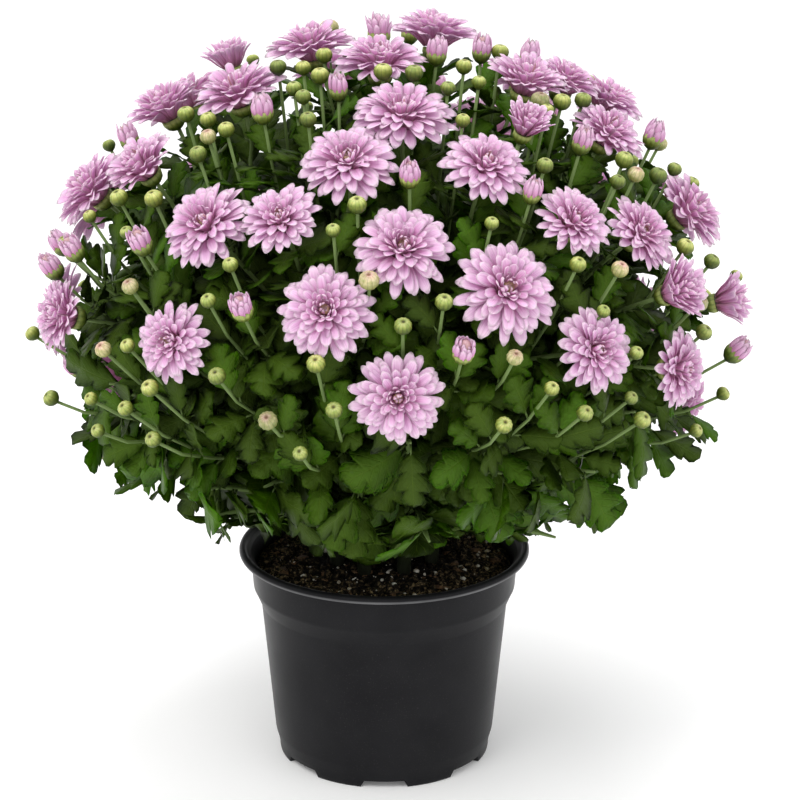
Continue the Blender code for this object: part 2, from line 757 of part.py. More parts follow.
def set_shoots(placed, paths, rng):
    """Low leafy shoots that spread over the pot's rim."""
    shoots = []
    for sector in range(SECTORS):
        for i in range(SHOOTS_PER_SECTOR):
            for _ in range(SHOOT_TRIES):
                turn = (i + rng.uniform(0.2, 0.8)) / SHOOTS_PER_SECTOR - 0.5
                angle = stem_angle(sector) + turn * 2 * math.pi / SECTORS
                side = Vector((math.cos(angle), math.sin(angle), 0))
                spot = paths[sector][1 + i].lerp(paths[sector][2 + i], 0.4)
                tip = side * rng.uniform(*SHOOT_REACH) + Vector((0, 0, rng.uniform(*SHOOT_HEIGHT)))
                bend = spot + side * 0.02 + Vector((0, 0, 0.03))
                path = [bezier(spot, bend, tip - side * 0.03, tip, t / 3) for t in range(4)]
                rings = tube_rings(path, [STALK_RADIUS] * 3 + [SHOOT_TIP_RADIUS], 3)
                mesh = mesh_of("shoot", *joined_rings([[path[0]]] + rings + [[path[-1]]]))
                if not placed.crosses(mesh, own=("stem", sector, 0)):
                    tag = ("stem", sector, "shoot", i)
                    placed.add(tag, mesh)
                    shoots.append(Piece(sector, tag, path, mesh))
                    break
    return shoots


def along_path(path, share):
    """A point on a path of straight runs and the way it heads there."""
    place = share * (len(path) - 1)
    i = min(int(place), len(path) - 2)
    return path[i].lerp(path[i + 1], place - i), (path[i + 1] - path[i]).normalized()


def set_leaf(placed, stalk, share, turn, length, droop, hang):
    """A leaf from a stalk, turned round it, if it crosses nothing but its own stalk."""
    root, ahead = along_path(stalk.path, share)
    across = ahead.orthogonal().normalized()
    across.rotate(Quaternion(ahead, turn))
    out = outward(root)
    along = (ahead * 0.5 + across * 0.8 + out * 0.35 - Vector((0, 0, hang))).normalized()
    face = out + Vector((0, 0, 0.5 * (1 - hang)))
    mesh = leaf_mesh(length, droop)
    mesh.transform(leaf_place(root, along, face))
    fused = placed.shape(mesh)[2].overlap(placed.shape(stalk.mesh)[2])
    if not fused or placed.crosses(mesh, own=stalk.tag):
        return None
    tag = ("leaf", stalk.sector)
    placed.add(tag, mesh)
    return Piece(stalk.sector, tag, stalk.path, mesh)


def set_leaves(placed, stalks, count, shares, hangs, rng):
    """Leaves one by one along the stalks in turn, each at the first free turn round its stalk."""
    leaves = []
    order = list(stalks)
    rng.shuffle(order)
    for stalk in order * 3:
        for _ in range(LEAF_TRIES):
            share = rng.uniform(*shares)
            turn = rng.uniform(0, 2 * math.pi)
            length = LEAF_LENGTH * rng.uniform(*LEAF_SIZES)
            leaf = set_leaf(placed, stalk, share, turn, length, rng.uniform(*LEAF_DROOP), rng.uniform(*hangs))
            if leaf:
                leaves.append(leaf)
                break
        if len(leaves) == count:
            break
    return leaves


def main():
    clear_scene()
    rng = random.Random(SEED)
    paths = [main_stem_path(sector) for sector in range(SECTORS + 1)]
    placed = Placed()
    placed.add(("pot",), pot(material("pot_plastic", POT_BLACK, 0.42)).data)
    ground = soil(material("soil_peat", SOIL_BROWN, 0.95), [(path[0].x, path[0].y) for path in paths])
    placed.add(("soil",), ground.data)
    stems = [main_stem(path) for path in paths]
    for sector, mesh in enumerate(stems):
        placed.add(("stem", sector, 0), mesh)
    blooms = set_blooms(placed, rng)
    shoots = set_shoots(placed, paths, rng)
    stalks = set_stalks(placed, paths, blooms)
    low_leaves = set_leaves(placed, shoots, LEAVES_ON_SHOOTS, LEAF_SHARES_ON_SHOOTS, LEAF_HANG_ON_SHOOTS, rng)
    leaves = set_leaves(placed, stalks, LEAVES_ON_STALKS, LEAF_SHARES_ON_STALKS, LEAF_HANG_ON_STALKS, rng)
    petals = material("petal_pink", PINK, 0.55)
    for number, (mesh, _, _) in enumerate(blooms):
        object_of(f"bloom_{number + 1:02d}", mesh, [petals])
    finishes = [material("leaf_green", LEAF_GREEN, 0.50), petals]
    pieces = stalks + shoots + low_leaves + leaves
    for sector, stem in enumerate(stems):
        shape = object_of(f"leafy_stem_{sector + 1}", stem, finishes)
        repeats = [object_of("repeat", piece.mesh, finishes) for piece in pieces if piece.sector == sector]
        combine(shape, repeats, "UNION", "MANIFOLD")
        drop_scraps(shape.data)


main()
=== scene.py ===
"""A pot chrysanthemum in a black nursery pot, dressed for a picture on a white table.

Metres, +Z up. The front of the plant faces -Y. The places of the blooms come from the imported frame, and
the stems, stalks and buds follow the same rules as the part's own source, with more buds and leaves.
"""

import json
import math
import random

import bmesh
import bpy
import numpy as np
from mathutils import Matrix, Quaternion, Vector
from mathutils.bvhtree import BVHTree

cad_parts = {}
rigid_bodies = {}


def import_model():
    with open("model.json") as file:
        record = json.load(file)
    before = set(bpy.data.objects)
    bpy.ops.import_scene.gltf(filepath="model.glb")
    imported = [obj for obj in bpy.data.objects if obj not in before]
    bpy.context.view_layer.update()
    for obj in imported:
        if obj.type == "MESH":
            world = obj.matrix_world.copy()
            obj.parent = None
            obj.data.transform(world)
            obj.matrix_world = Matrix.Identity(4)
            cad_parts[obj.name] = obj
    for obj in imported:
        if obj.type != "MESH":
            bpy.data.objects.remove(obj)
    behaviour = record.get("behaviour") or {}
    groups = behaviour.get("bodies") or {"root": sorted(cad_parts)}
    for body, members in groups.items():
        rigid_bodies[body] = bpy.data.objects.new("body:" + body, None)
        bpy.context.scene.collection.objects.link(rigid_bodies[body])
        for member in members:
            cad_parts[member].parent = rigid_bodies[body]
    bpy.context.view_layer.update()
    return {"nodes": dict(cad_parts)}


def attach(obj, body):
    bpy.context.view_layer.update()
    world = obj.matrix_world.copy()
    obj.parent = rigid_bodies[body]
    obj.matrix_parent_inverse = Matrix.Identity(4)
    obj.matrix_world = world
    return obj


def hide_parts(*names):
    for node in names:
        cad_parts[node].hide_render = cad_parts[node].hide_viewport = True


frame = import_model()

SEED = 41

# Pot
POT_HEIGHT = 0.1245
RIM_RADIUS = 0.0825
RIM_INNER_RADIUS = 0.0780
LIP_HEIGHT = 0.0042
COLLAR_RADII = (0.0760, 0.0746)
COLLAR_BOTTOM = 0.1010
WALL_RADII = (0.0703, 0.0628)
WALL_TOP = 0.0921
WALL_BOTTOM = 0.0132
FOOT_RADIUS = 0.0606
FOOT_WIDTH = 0.0060
FOOT_HEIGHT = 0.0055
WALL_THICKNESS = 0.0018
FLOOR_TOP = 0.0075
INNER_FOOT_RADIUS = 0.0598
STEP_RISE = 0.0010
POT_SIDES = 168
NOTCHES = 7
NOTCH_WIDTH = 0.0250
NOTCH_HEIGHT = 0.0042
NOTCH_SLOPE = 0.0012
DRAIN_RADIUS = 0.0045
DRAIN_CIRCLE = 0.0440

# Soil
SOIL_LEVEL = 0.1125
SOIL_MOUND = 0.0040
SOIL_GAP = 0.0010
SOIL_EDGE = COLLAR_RADII[1] - WALL_THICKNESS - SOIL_GAP
SOIL_SIDES = 96
SOIL_TOP_RINGS = 22
# Crumbs, perlite and bark on the soil: how many, smallest and largest size, finish, and flatness
LOOSE_BITS = (
    (1100, (0.0012, 0.0042), 0, 0.90),
    (320, (0.0004, 0.0027), 1, 0.80),
    (90, (0.0016, 0.0062), 2, 0.35),
)

# Dome that the open blooms lie on
DOME_RADIUS = 0.1880
DOME_HALF_HEIGHT = 0.1500
DOME_MIDDLE = Vector((0.0, 0.0, 0.2650))
LEAN_TO_LIGHT = 0.16

# The eye that saw the front of the plant, and the picture's scale, in picture units to one radian
EYE = Vector((0.0, -1.3975, 0.6694))
EYE_PITCH = math.radians(18.19)
EYE_SCALE = 2629.0
EYE_CENTRE = (384.2, 400.0)
# The distance from the eye at which the widths of flowers were read
WIDTHS_READ_AT = 1.473
PICTURE = 800
SENSOR = 36.0

# Open blooms as the eye saw them: place across and down the picture, real width, how far open
SEEN_BLOOMS = (
    (403, 246, 0.054, 1.00), (508, 288, 0.058, 1.00), (325, 310, 0.053, 1.00), (398, 398, 0.051, 1.00),
    (205, 222, 0.054, 1.00), (348, 158, 0.055, 1.00), (403, 110, 0.057, 1.00), (487, 163, 0.050, 1.00),
    (280, 218, 0.044, 0.90), (170, 341, 0.046, 1.00), (597, 350, 0.048, 0.95), (575, 221, 0.045, 0.90),
    (642, 232, 0.045, 0.90), (691, 210, 0.048, 0.85), (609, 131, 0.045, 0.90), (380, 58, 0.052, 0.92),
    (311, 44, 0.050, 0.88), (237, 90, 0.050, 0.84), (166, 107, 0.042, 0.72), (142, 165, 0.042, 0.74),
    (90, 188, 0.048, 0.86), (62, 315, 0.042, 0.80), (680, 369, 0.044, 0.90), (527, 80, 0.044, 0.75),
    (608, 98, 0.044, 0.88), (436, 32, 0.050, 0.84), (230, 60, 0.027, 0.52), (674, 292, 0.034, 0.50),
    (724, 301, 0.028, 0.48), (526, 126, 0.027, 0.50), (566, 80, 0.040, 0.85),
)
# Half open buds: place in the picture and width across the pink
SEEN_HALF_OPEN = (
    (379, 30, 0.019), (437, 50, 0.015), (262, 108, 0.017), (338, 86, 0.012), (128, 136, 0.014),
    (140, 241, 0.017), (72, 248, 0.015), (51, 266, 0.015), (241, 307, 0.017), (410, 173, 0.015),
    (464, 350, 0.017), (583, 140, 0.014), (655, 134, 0.016), (738, 350, 0.016), (482, 48, 0.013),
    (530, 54, 0.014), (268, 421, 0.012), (369, 281, 0.012), (533, 190, 0.012), (515, 357, 0.012),
)
# Green buds: place in the picture
SEEN_BUDS = (
    (32, 333), (51, 398), (130, 286), (230, 264), (208, 300), (217, 376), (153, 439), (97, 430),
    (300, 453), (333, 229), (403, 326), (444, 302), (492, 222), (504, 425), (334, 410), (604, 310),
    (637, 352), (585, 413), (697, 430), (724, 393), (737, 275), (675, 168), (545, 165), (464, 66),
    (324, 55), (303, 67), (320, 76), (294, 88), (303, 96), (383, 72), (208, 119), (186, 114), (226, 129),
    (198, 154), (479, 81), (500, 52), (448, 87), (414, 73), (463, 119), (547, 109), (562, 102), (583, 100),
    (624, 160), (618, 181), (658, 176), (692, 183), (578, 264), (712, 261), (704, 332), (632, 397),
    (642, 420), (127, 345), (150, 388), (90, 398), (125, 408), (89, 215), (119, 198), (64, 241),
    (154, 199), (126, 231), (357, 205), (316, 364), (552, 388), (278, 67), (308, 119), (685, 247),
)
# Half open buds that are pale and still round
PALE_BUDS = ((268, 421), (369, 281), (515, 357))
FADED_BUDS = ((130, 286), (103, 349), (620, 269), (636, 174), (208, 136), (540, 101), (698, 303))

# The far side, which the eye didn't see, is filled by rule
BACK_BLOOMS = 17
BACK_HALF_OPEN = 14
BACK_BUDS = 40
BACK_CANDIDATES = 500
UNSEEN_FROM = 0.14
LOWEST_BLOOM = -0.45
LOWEST_BUD = -0.62
GOLDEN_ANGLE = math.radians(137.508)

# Blooms: how much wider each is than its seen width, and how far out it sits from its packed seat
BLOOM_GROWTH = 1.05
BLOOM_RAISE = 0.0025
# The share of the way to upright that the petals of a quite closed bloom are raised
CLOSED_LIFT = 0.80
# The tip of the outermost petals, in shares of the half width, for a bloom that is fully open
FIRST_TIP = (1.00, 0.20)
# Layers: petals, then tip radius, tip height, base radius, base height, half width of a petal, its cup and
# the curl of its tip, all in shares of the bloom's half width
PETAL_LAYERS = (
    (16, 1.00, 0.12, 0.16, 0.10, 0.112, 0.24, -0.06),
    (16, 0.93, 0.25, 0.15, 0.12, 0.110, 0.26, -0.03),
    (15, 0.82, 0.36, 0.15, 0.14, 0.104, 0.30, 0.00),
    (14, 0.69, 0.44, 0.14, 0.16, 0.096, 0.34, 0.02),
    (12, 0.55, 0.50, 0.13, 0.18, 0.086, 0.42, 0.05),
    (11, 0.42, 0.53, 0.12, 0.20, 0.074, 0.50, 0.10),
    (10, 0.31, 0.53, 0.13, 0.21, 0.062, 0.56, 0.12),
    (9, 0.21, 0.51, 0.14, 0.22, 0.048, 0.60, 0.06),
    (6, 0.11, 0.49, 0.10, 0.24, 0.038, 0.60, 0.10),
)
PETAL_THICKNESS = 0.00045
PETAL_ROWS = 7
CENTRE_RADIUS = 0.110
CENTRE_HEIGHT = 0.41
CENTRE_SIDES = 14

# Stems and stalks
SECTORS = 8
STEM_SIDES = 12
STEM_POINTS = 7
DRAWN_STEM_POINTS = 22
STEM_RADIUS = 0.0040
STEM_TIP_RADIUS = 0.0022
STEM_CIRCLE = 0.0290
STEM_TIP_CIRCLE = 0.1060
STEM_TIP_HEIGHT = 0.2750
MIDDLE_STEM_HEIGHT = 0.3350
HOLE_DEPTH = 0.0200
CLEARANCE = 0.0003
STALK_RADIUS = 0.0014
STALK_LENGTH = 0.0880
STALK_SIDES = 7
STALK_POINTS = 8
BUD_STALK_SHARE = 0.78
SPOTS_PER_RUN = 5
MIDDLE_SHARE = 0.056
CALYX_RADIUS = 0.0068
CALYX_HEIGHT = 0.0070
BUD_RADIUS = 0.0050
BUD_DOME = 1.03
BUD_LIFT = 0.90
BUD_SIDES = 24
RIBS = 12

# Leaves
LEAF_LENGTH = 0.0440
LEAF_HALF_WIDTH = 0.41
LEAF_THICKNESS = 0.00045
PETIOLE = 0.0085
# Each side's outline from base to tip: share of the length, half width share, how far the edge leans on
LEAF_OUTLINE = (
    (0.00, 0.05, 0.00), (0.08, 0.22, 0.00), (0.17, 0.55, 0.03), (0.25, 0.74, 0.08), (0.32, 0.63, 0.06),
    (0.38, 0.58, 0.02), (0.46, 0.84, 0.06), (0.54, 1.00, 0.10), (0.61, 0.92, 0.10), (0.66, 0.70, 0.06),
    (0.71, 0.56, 0.02), (0.79, 0.66, 0.06), (0.87, 0.53, 0.06), (0.94, 0.33, 0.02), (1.00, 0.05, 0.00),
)
PETIOLE_RADII = (0.0009, 0.0007, 0.0004)
# The rows of a leaf that stand for its shape when leaves are kept apart
ROUGH_ROWS = (1, 3, 5, 7, 10, 11, 14)
# Leaves along a main stem and along a shoot: how many, the share of the path where they start, then the
# ranges of their size, of their droop and, on a shoot, of how steeply they hang
STEM_LEAVES = (19, 0.22, (0.70, 0.90), (0.1, 0.4))
SHOOT_LEAVES = (10, 0.30, (0.56, 0.78), (0.1, 0.5), (0.4, 1.3))
LEAVES_PER_STALK = 12
# Leafy shoots round each outer stem: how many, and the reach and the height of their tips. The first ones
# spread low over the pot's rim, and the others stand wider above them.
SHOOTS = (
    (7, (0.060, 0.135), (0.160, 0.215)),
    (3, (0.135, 0.168), (0.200, 0.245)),
)
LEAF_TRIES = 13
NEAR_LEAF = 0.040
# Leaves vary in tone at random, and painted light and shade make them brighter towards the outside of the
# plant and near its foot and its top, and darker inside
TONE_SPREAD = 0.46
PAINTED_LIGHT_SLOPE = 1.3
PAINTED_LIGHT_MIDDLE = 0.55
BRIGHT_BELOW = 0.235
LOW_PAINTED_LIGHT = 0.26
BRIGHT_ABOVE = 0.300
HIGH_PAINTED_LIGHT = 0.30
# Leaves stay inside this share of the dome from this height up, so that the flowers stand clear of them
CANOPY = 0.965
CANOPY_FROM = 0.215
# The lowest that leaves hang at each reach from the pot's axis
SKIRT_REACH = (0.084, 0.106, 0.126, 0.151, 0.176, 0.193)
SKIRT_HEIGHT = (0.124, 0.127, 0.142, 0.156, 0.182, 0.203)
# The lowest leaves of the front: the place of the tip in the picture, its reach from the pot's axis, and how
# steeply the leaf hangs
LOW_LEAVES = (
    (216, 547, 0.098, 1.0), (262, 545, 0.064, 1.0), (284, 535, 0.060, 0.8), (313, 557, 0.056, 1.0),
    (340, 536, 0.054, 0.8), (369, 561, 0.052, 1.0), (392, 547, 0.054, 0.9), (415, 558, 0.056, 1.0),
    (438, 573, 0.060, 1.2), (462, 538, 0.058, 0.8), (487, 545, 0.062, 0.9), (515, 545, 0.068, 0.9),
    (552, 532, 0.094, 0.6), (600, 541, 0.126, 1.2), (622, 515, 0.138, 0.5), (182, 519, 0.118, 1.2),
    (150, 500, 0.136, 0.4), (114, 496, 0.154, 0.2), (240, 520, 0.082, 0.6), (672, 478, 0.166, 0.9),
    (702, 459, 0.182, 0.2), (70, 442, 0.180, 0.2), (328, 520, 0.066, 0.7), (404, 522, 0.068, 0.7),
    (450, 515, 0.070, 0.7), (356, 524, 0.070, 0.9), (300, 520, 0.072, 0.7), (430, 536, 0.064, 0.9),
    (364, 567, 0.047, 1.3), (404, 564, 0.047, 1.3), (340, 556, 0.047, 1.3),
)
# How far down the picture the leaves reach, at places across it
SEEN_EDGE = (
    (80, 492), (130, 498), (165, 505), (184, 520), (200, 548), (232, 548), (239, 526), (262, 546),
    (285, 536), (313, 558), (338, 558), (368, 569), (392, 562), (420, 566), (438, 574), (452, 538),
    (487, 546), (540, 546), (560, 530), (590, 542), (612, 530), (640, 492), (705, 462),
)

# Places in a piece's list of finishes. Petals come first in a bloom, and leaves in the greenery.
CENTRE_SLOT = 1
STALK_SLOT = 1
BUD_SLOT = 2


# Dome
def sight_direction(across, down):
    ahead = Vector((0, math.cos(EYE_PITCH), -math.sin(EYE_PITCH)))
    upward = Vector((0, math.sin(EYE_PITCH), math.cos(EYE_PITCH)))
    sight = ahead * EYE_SCALE + upward * (EYE_CENTRE[1] - down)
    sight.x = across - EYE_CENTRE[0]
    return sight.normalized()


def in_dome_units(point):
    p = point - DOME_MIDDLE
    return Vector((p.x / DOME_RADIUS, p.y / DOME_RADIUS, p.z / DOME_HALF_HEIGHT))


def from_dome_units(p):
    return DOME_MIDDLE + Vector((p.x * DOME_RADIUS, p.y * DOME_RADIUS, p.z * DOME_HALF_HEIGHT))


def seen_on_dome(across, down, size=1.0):
    """Where the sight line meets the dome first, or else the point of the line nearest to it."""
    sight = sight_direction(across, down)
    start = in_dome_units(EYE)
    along = in_dome_units(EYE + sight) - start
    a = along.length_squared
    b = along.dot(start)
    c = start.length_squared - size * size
    inside = b * b - a * c
    distance = (-b - math.sqrt(inside)) / a if inside > 0 else -b / a
    return EYE + sight * distance


def outward(point):
    """The dome's normal at a point, lifted a little towards the light."""
    p = in_dome_units(point)
    normal = Vector((p.x / DOME_RADIUS, p.y / DOME_RADIUS, p.z / DOME_HALF_HEIGHT)).normalized()
    return (normal + Vector((0, 0, LEAN_TO_LIGHT))).normalized()


def back_places(count, taken, lowest, size):
    """Places on the unseen side: each next one is as far as can be from all that are taken."""
    candidates = []
    for i in range(BACK_CANDIDATES):
        height = 1 - (1 - lowest) * (i + 0.5) / BACK_CANDIDATES
        angle = i * GOLDEN_ANGLE
        flat = math.sqrt(1 - height * height)
        p = from_dome_units(size * Vector((flat * math.cos(angle), flat * math.sin(angle), height)))
        if (p - DOME_MIDDLE).normalized().dot(sight_direction(*EYE_CENTRE)) > UNSEEN_FROM:
            candidates.append(p)
    places = []
    for _ in range(count):
        place = max(candidates, key=lambda p: min((p - q).length for q in taken + places))
        places.append(place)
    return places


def facing(point, axis, spin=0.0):
    """The matrix that puts an own origin at point, with own +Z along axis."""
    turn = axis.to_track_quat("Z", "Y").to_matrix().to_4x4()
    return Matrix.Translation(point) @ turn @ Matrix.Rotation(spin, 4, "Z")


# Meshes
def object_of(name, data):
    obj = bpy.data.objects.new(name, data)
    bpy.context.scene.collection.objects.link(obj)
    return obj


def circle(sides, radius, height):
    angles = [2 * math.pi * k / sides for k in range(sides)]
    return [(radius * math.cos(angle), radius * math.sin(angle), height) for angle in angles]


class Shell:
    """Closed parts collected into one mesh, with four numbers at each point for the materials to read."""

    NUMBERS = ("along", "across", "tone", "depth")

    def __init__(self):
        self.points = []
        self.numbers = []
        self.faces = []
        self.slots = []
        self.size = 0

    def add(self, points, faces, numbers, slot=0):
        self.points.append(np.asarray(points, float))
        self.numbers.append(np.asarray(numbers, float))
        self.faces += [tuple(index + self.size for index in face) for face in faces]
        self.slots += [slot] * len(faces)
        self.size += len(points)

    def piece(self, name, materials):
        mesh = bpy.data.meshes.new(name)
        mesh.from_pydata(np.concatenate(self.points).tolist(), [], self.faces)
        numbers = np.concatenate(self.numbers)
        for k, label in enumerate(self.NUMBERS):
            layer = mesh.attributes.new(label, "FLOAT", "POINT")
            layer.data.foreach_set("value", numbers[:, k].astype(np.float32))
        mesh.polygons.foreach_set("material_index", self.slots)
        mesh.shade_smooth()
        for finish in materials:
            mesh.materials.append(finish)
        return object_of(name, mesh)


def grid_faces(rows, columns):
    """Faces of a closed blade: a top grid, then the inner points of its underside."""
    def top(i, j):
        return i * columns + j

    def under(i, j):
        if i in (0, rows - 1) or j in (0, columns - 1):
            return top(i, j)
        return rows * columns + (i - 1) * (columns - 2) + j - 1

    faces = []
    for i in range(rows - 1):
        for j in range(columns - 1):
            faces.append((top(i, j), top(i + 1, j), top(i + 1, j + 1), top(i, j + 1)))
            faces.append((under(i, j), under(i, j + 1), under(i + 1, j + 1), under(i + 1, j)))
    return faces


def blade(middle, thickness):
    """Points of a closed blade round a middle surface, thin as a lens towards its rim."""
    rows, columns, _ = middle.shape
    down = np.gradient(middle, axis=0)
    across = np.gradient(middle, axis=1)
    normal = np.cross(down, across)
    normal /= np.maximum(np.linalg.norm(normal, axis=2, keepdims=True), 1e-12)
    inner = np.zeros((rows, columns, 1))
    inner[1:-1, 1:-1] = thickness / 2
    top = (middle + normal * inner).reshape(-1, 3)
    under = (middle - normal * inner)[1:-1, 1:-1].reshape(-1, 3)
    return np.concatenate((top, under))


def blade_numbers(rows, columns, along, across, tone, depth):
    """The four numbers of a blade's points. The underside has the same ones as the top, less 1 in depth."""
    a = np.repeat(np.asarray(along), columns).reshape(rows, columns)
    b = np.tile(np.asarray(across), rows).reshape(rows, columns)
    top = np.stack((a.ravel(), b.ravel(), np.full(a.size, tone), np.full(a.size, depth)), axis=1)
    inner = np.stack((a[1:-1, 1:-1].ravel(), b[1:-1, 1:-1].ravel()), axis=1)
    under = np.column_stack((inner, np.full(len(inner), tone), np.full(len(inner), depth - 1.0)))
    return np.concatenate((top, under))


def placed_points(matrix, points):
    m = np.array(matrix)
    return points @ m[:3, :3].T + m[:3, 3]


def skin_faces(rings, sides):
    """Faces of a closed skin: one point, then rings of points, then a last point."""
    last = 1 + rings * sides
    tail = last - sides
    faces = [(0, 1 + (k + 1) % sides, 1 + k) for k in range(sides)]
    for a in range(1, tail, sides):
        b = a + sides
        faces += [(a + k, a + (k + 1) % sides, b + (k + 1) % sides, b + k) for k in range(sides)]
    faces += [(tail + k, tail + (k + 1) % sides, last) for k in range(sides)]
    return faces


def tube(shell, path, radii, sides, tone, along=(0.0, 1.0)):
    """A closed green tube along a path, with a point at each end."""
    points = [path[0]]
    numbers = [(along[0], 0.0, tone, 0.0)]
    for i, (point, radius) in enumerate(zip(path, radii)):
        ahead = path[min(i + 1, len(path) - 1)] - path[max(i - 1, 0)]
        place = facing(point, ahead.normalized())
        share = along[0] + (along[1] - along[0]) * i / (len(path) - 1)
        points += [place @ Vector(p) for p in circle(sides, radius, 0)]
        numbers += [(share, k / sides, tone, 0.0) for k in range(sides)]
    points.append(path[-1])
    numbers.append((along[1], 0.0, tone, 0.0))
    shell.add([tuple(p) for p in points], skin_faces(len(path), sides), numbers, STALK_SLOT)


def lathed(shell, matrix, profile, sides, tone, slot=0, ribs=0.0, depth=0.0):
    """A closed solid turned round own +Z, with ribs as deep as this share of its radius. The profile starts
    and ends on the axis."""
    points = [(0.0, 0.0, profile[0][1])]
    numbers = [(0.0, 0.0, tone, depth)]
    count = len(profile) - 2
    for i, (radius, height) in enumerate(profile[1:-1]):
        share = (i + 1) / (count + 1)
        for k in range(sides):
            angle = 2 * math.pi * k / sides
            r = radius * (1 - ribs * math.sin(math.pi * share) * abs(math.sin(angle * RIBS / 2)))
            points.append((r * math.cos(angle), r * math.sin(angle), height))
            numbers.append((share, k / sides, tone, depth))
    points.append((0.0, 0.0, profile[-1][1]))
    numbers.append((1.0, 0.0, tone, depth))
    shell.add(placed_points(matrix, np.array(points)), skin_faces(count, sides), numbers, slot)


# Materials
class Nodes:
    """A short way to write a material's nodes."""

    def __init__(self, name):
        self.material = bpy.data.materials.new(name)
        self.material.use_nodes = True
        self.tree = self.material.node_tree
        self.shader = self.tree.nodes["Principled BSDF"]

    def node(self, kind, **values):
        made = self.tree.nodes.new(kind)
        for key, value in values.items():
            setattr(made, key, value)
        return made

    def link(self, source, target):
        if isinstance(source, (int, float)):
            target.default_value = source
        else:
            self.tree.links.new(source, target)

    def number(self, label):
        return self.node("ShaderNodeAttribute", attribute_name=label).outputs["Fac"]

    def math(self, operation, a, b=0.0):
        made = self.node("ShaderNodeMath", operation=operation)
        self.link(a, made.inputs[0])
        self.link(b, made.inputs[1])
        return made.outputs[0]

    def times(self, a, b):
        return self.math("MULTIPLY", a, b)

    def vector(self, x, y, z):
        made = self.node("ShaderNodeCombineXYZ")
        for k, value in enumerate((x, y, z)):
            self.link(value, made.inputs[k])
        return made.outputs[0]

    def place(self):
        return self.node("ShaderNodeTexCoord").outputs["Object"]

    def noise(self, where, scale, detail=3.0, rough=0.5):
        made = self.node("ShaderNodeTexNoise")
        self.link(where, made.inputs["Vector"])
        made.inputs["Scale"].default_value = scale
        made.inputs["Detail"].default_value = detail
        made.inputs["Roughness"].default_value = rough
        return made.outputs["Fac"]

    def ramp(self, value, stops):
        made = self.node("ShaderNodeValToRGB")
        elements = made.color_ramp.elements
        while len(elements) < len(stops):
            elements.new(0.5)
        for element, (place, colour) in zip(elements, stops):
            element.position = place
            element.color = (*colour, 1.0) if isinstance(colour, tuple) else (colour, colour, colour, 1.0)
        self.link(value, made.inputs[0])
        return made.outputs["Color"]

    def mix(self, share, a, b, blend="MIX"):
        made = self.node("ShaderNodeMix", data_type="RGBA", blend_type=blend)
        self.link(share, made.inputs[0])
        for source, target in ((a, made.inputs[6]), (b, made.inputs[7])):
            if isinstance(source, tuple):
                target.default_value = (*source, 1.0)
            else:
                self.tree.links.new(source, target)
        return made.outputs[2]

    def bump(self, height, strength, distance):
        made = self.node("ShaderNodeBump")
        made.inputs["Strength"].default_value = strength
        made.inputs["Distance"].default_value = distance
        self.link(height, made.inputs["Height"])
        self.tree.links.new(made.outputs["Normal"], self.shader.inputs["Normal"])

    def finish(self, colour, roughness, **values):
        """Links the colour, and the roughness where it isn't one number, and sets the rest."""
        if isinstance(colour, tuple):
            self.shader.inputs["Base Color"].default_value = (*colour, 1.0)
        else:
            self.tree.links.new(colour, self.shader.inputs["Base Color"])
        self.link(roughness, self.shader.inputs["Roughness"])
        for key, value in values.items():
            self.shader.inputs[key.replace("_", " ")].default_value = value
        return self.material


def petal_material():
    """Mauve petals: deep pink at the base, pale towards the tip and margin, with fine lengthwise veins.
    Depth runs from 0 in the outer layer to 1 in the middle of the bloom."""
    n = Nodes("petals")
    along, across = n.number("along"), n.number("across")
    tone, depth = n.number("tone"), n.number("depth")
    inside = n.math("FRACT", n.math("ADD", depth, 2.0))
    body = n.ramp(along, ((0.0, (0.46, 0.12, 0.27)), (0.30, (0.60, 0.27, 0.47)), (0.62, (0.67, 0.40, 0.60)),
                          (0.90, (0.74, 0.51, 0.67)), (1.0, (0.84, 0.67, 0.76))))
    deeper = n.ramp(along, ((0.0, (0.44, 0.16, 0.22)), (0.45, (0.62, 0.29, 0.48)), (1.0, (0.72, 0.47, 0.63))))
    colour = n.mix(n.times(inside, 0.95), body, deeper)
    dusky = n.ramp(inside, ((0.84, 0.0), (0.94, 1.0)))
    colour = n.mix(n.times(dusky, 0.62), colour, (0.40, 0.25, 0.13))
    veins = n.noise(n.vector(n.times(across, 3.0), n.times(along, 0.35), n.times(tone, 37.0)), 3.2, 2.0)
    streak = n.ramp(veins, ((0.36, (0.84, 0.72, 0.82)), (0.58, (1.05, 1.05, 1.05))))
    colour = n.mix(0.80, colour, streak, "MULTIPLY")
    shade = n.ramp(tone, ((0.0, (0.92, 0.88, 0.94)), (1.0, (1.0, 1.0, 1.0))))
    colour = n.mix(1.0, colour, shade, "MULTIPLY")
    edge = n.times(n.math("POWER", n.math("ABSOLUTE", across), 4.0), n.times(along, 0.60))
    edge = n.math("MAXIMUM", edge, n.times(n.math("POWER", along, 7.0), 0.55))
    edge = n.times(edge, n.math("SUBTRACT", 0.85, n.times(inside, 0.60)))
    colour = n.mix(edge, colour, (0.86, 0.70, 0.77))
    n.bump(veins, 0.45, 0.0004)
    # A weak glow stands for the light that thin petals let through
    n.link(colour, n.shader.inputs["Emission Color"])
    n.shader.inputs["Subsurface Radius"].default_value = (0.8, 0.5, 0.75)
    return n.finish(colour, 0.55, Specular_IOR_Level=0.25, Subsurface_Weight=0.30, Subsurface_Scale=0.005,
                    Emission_Strength=0.09)


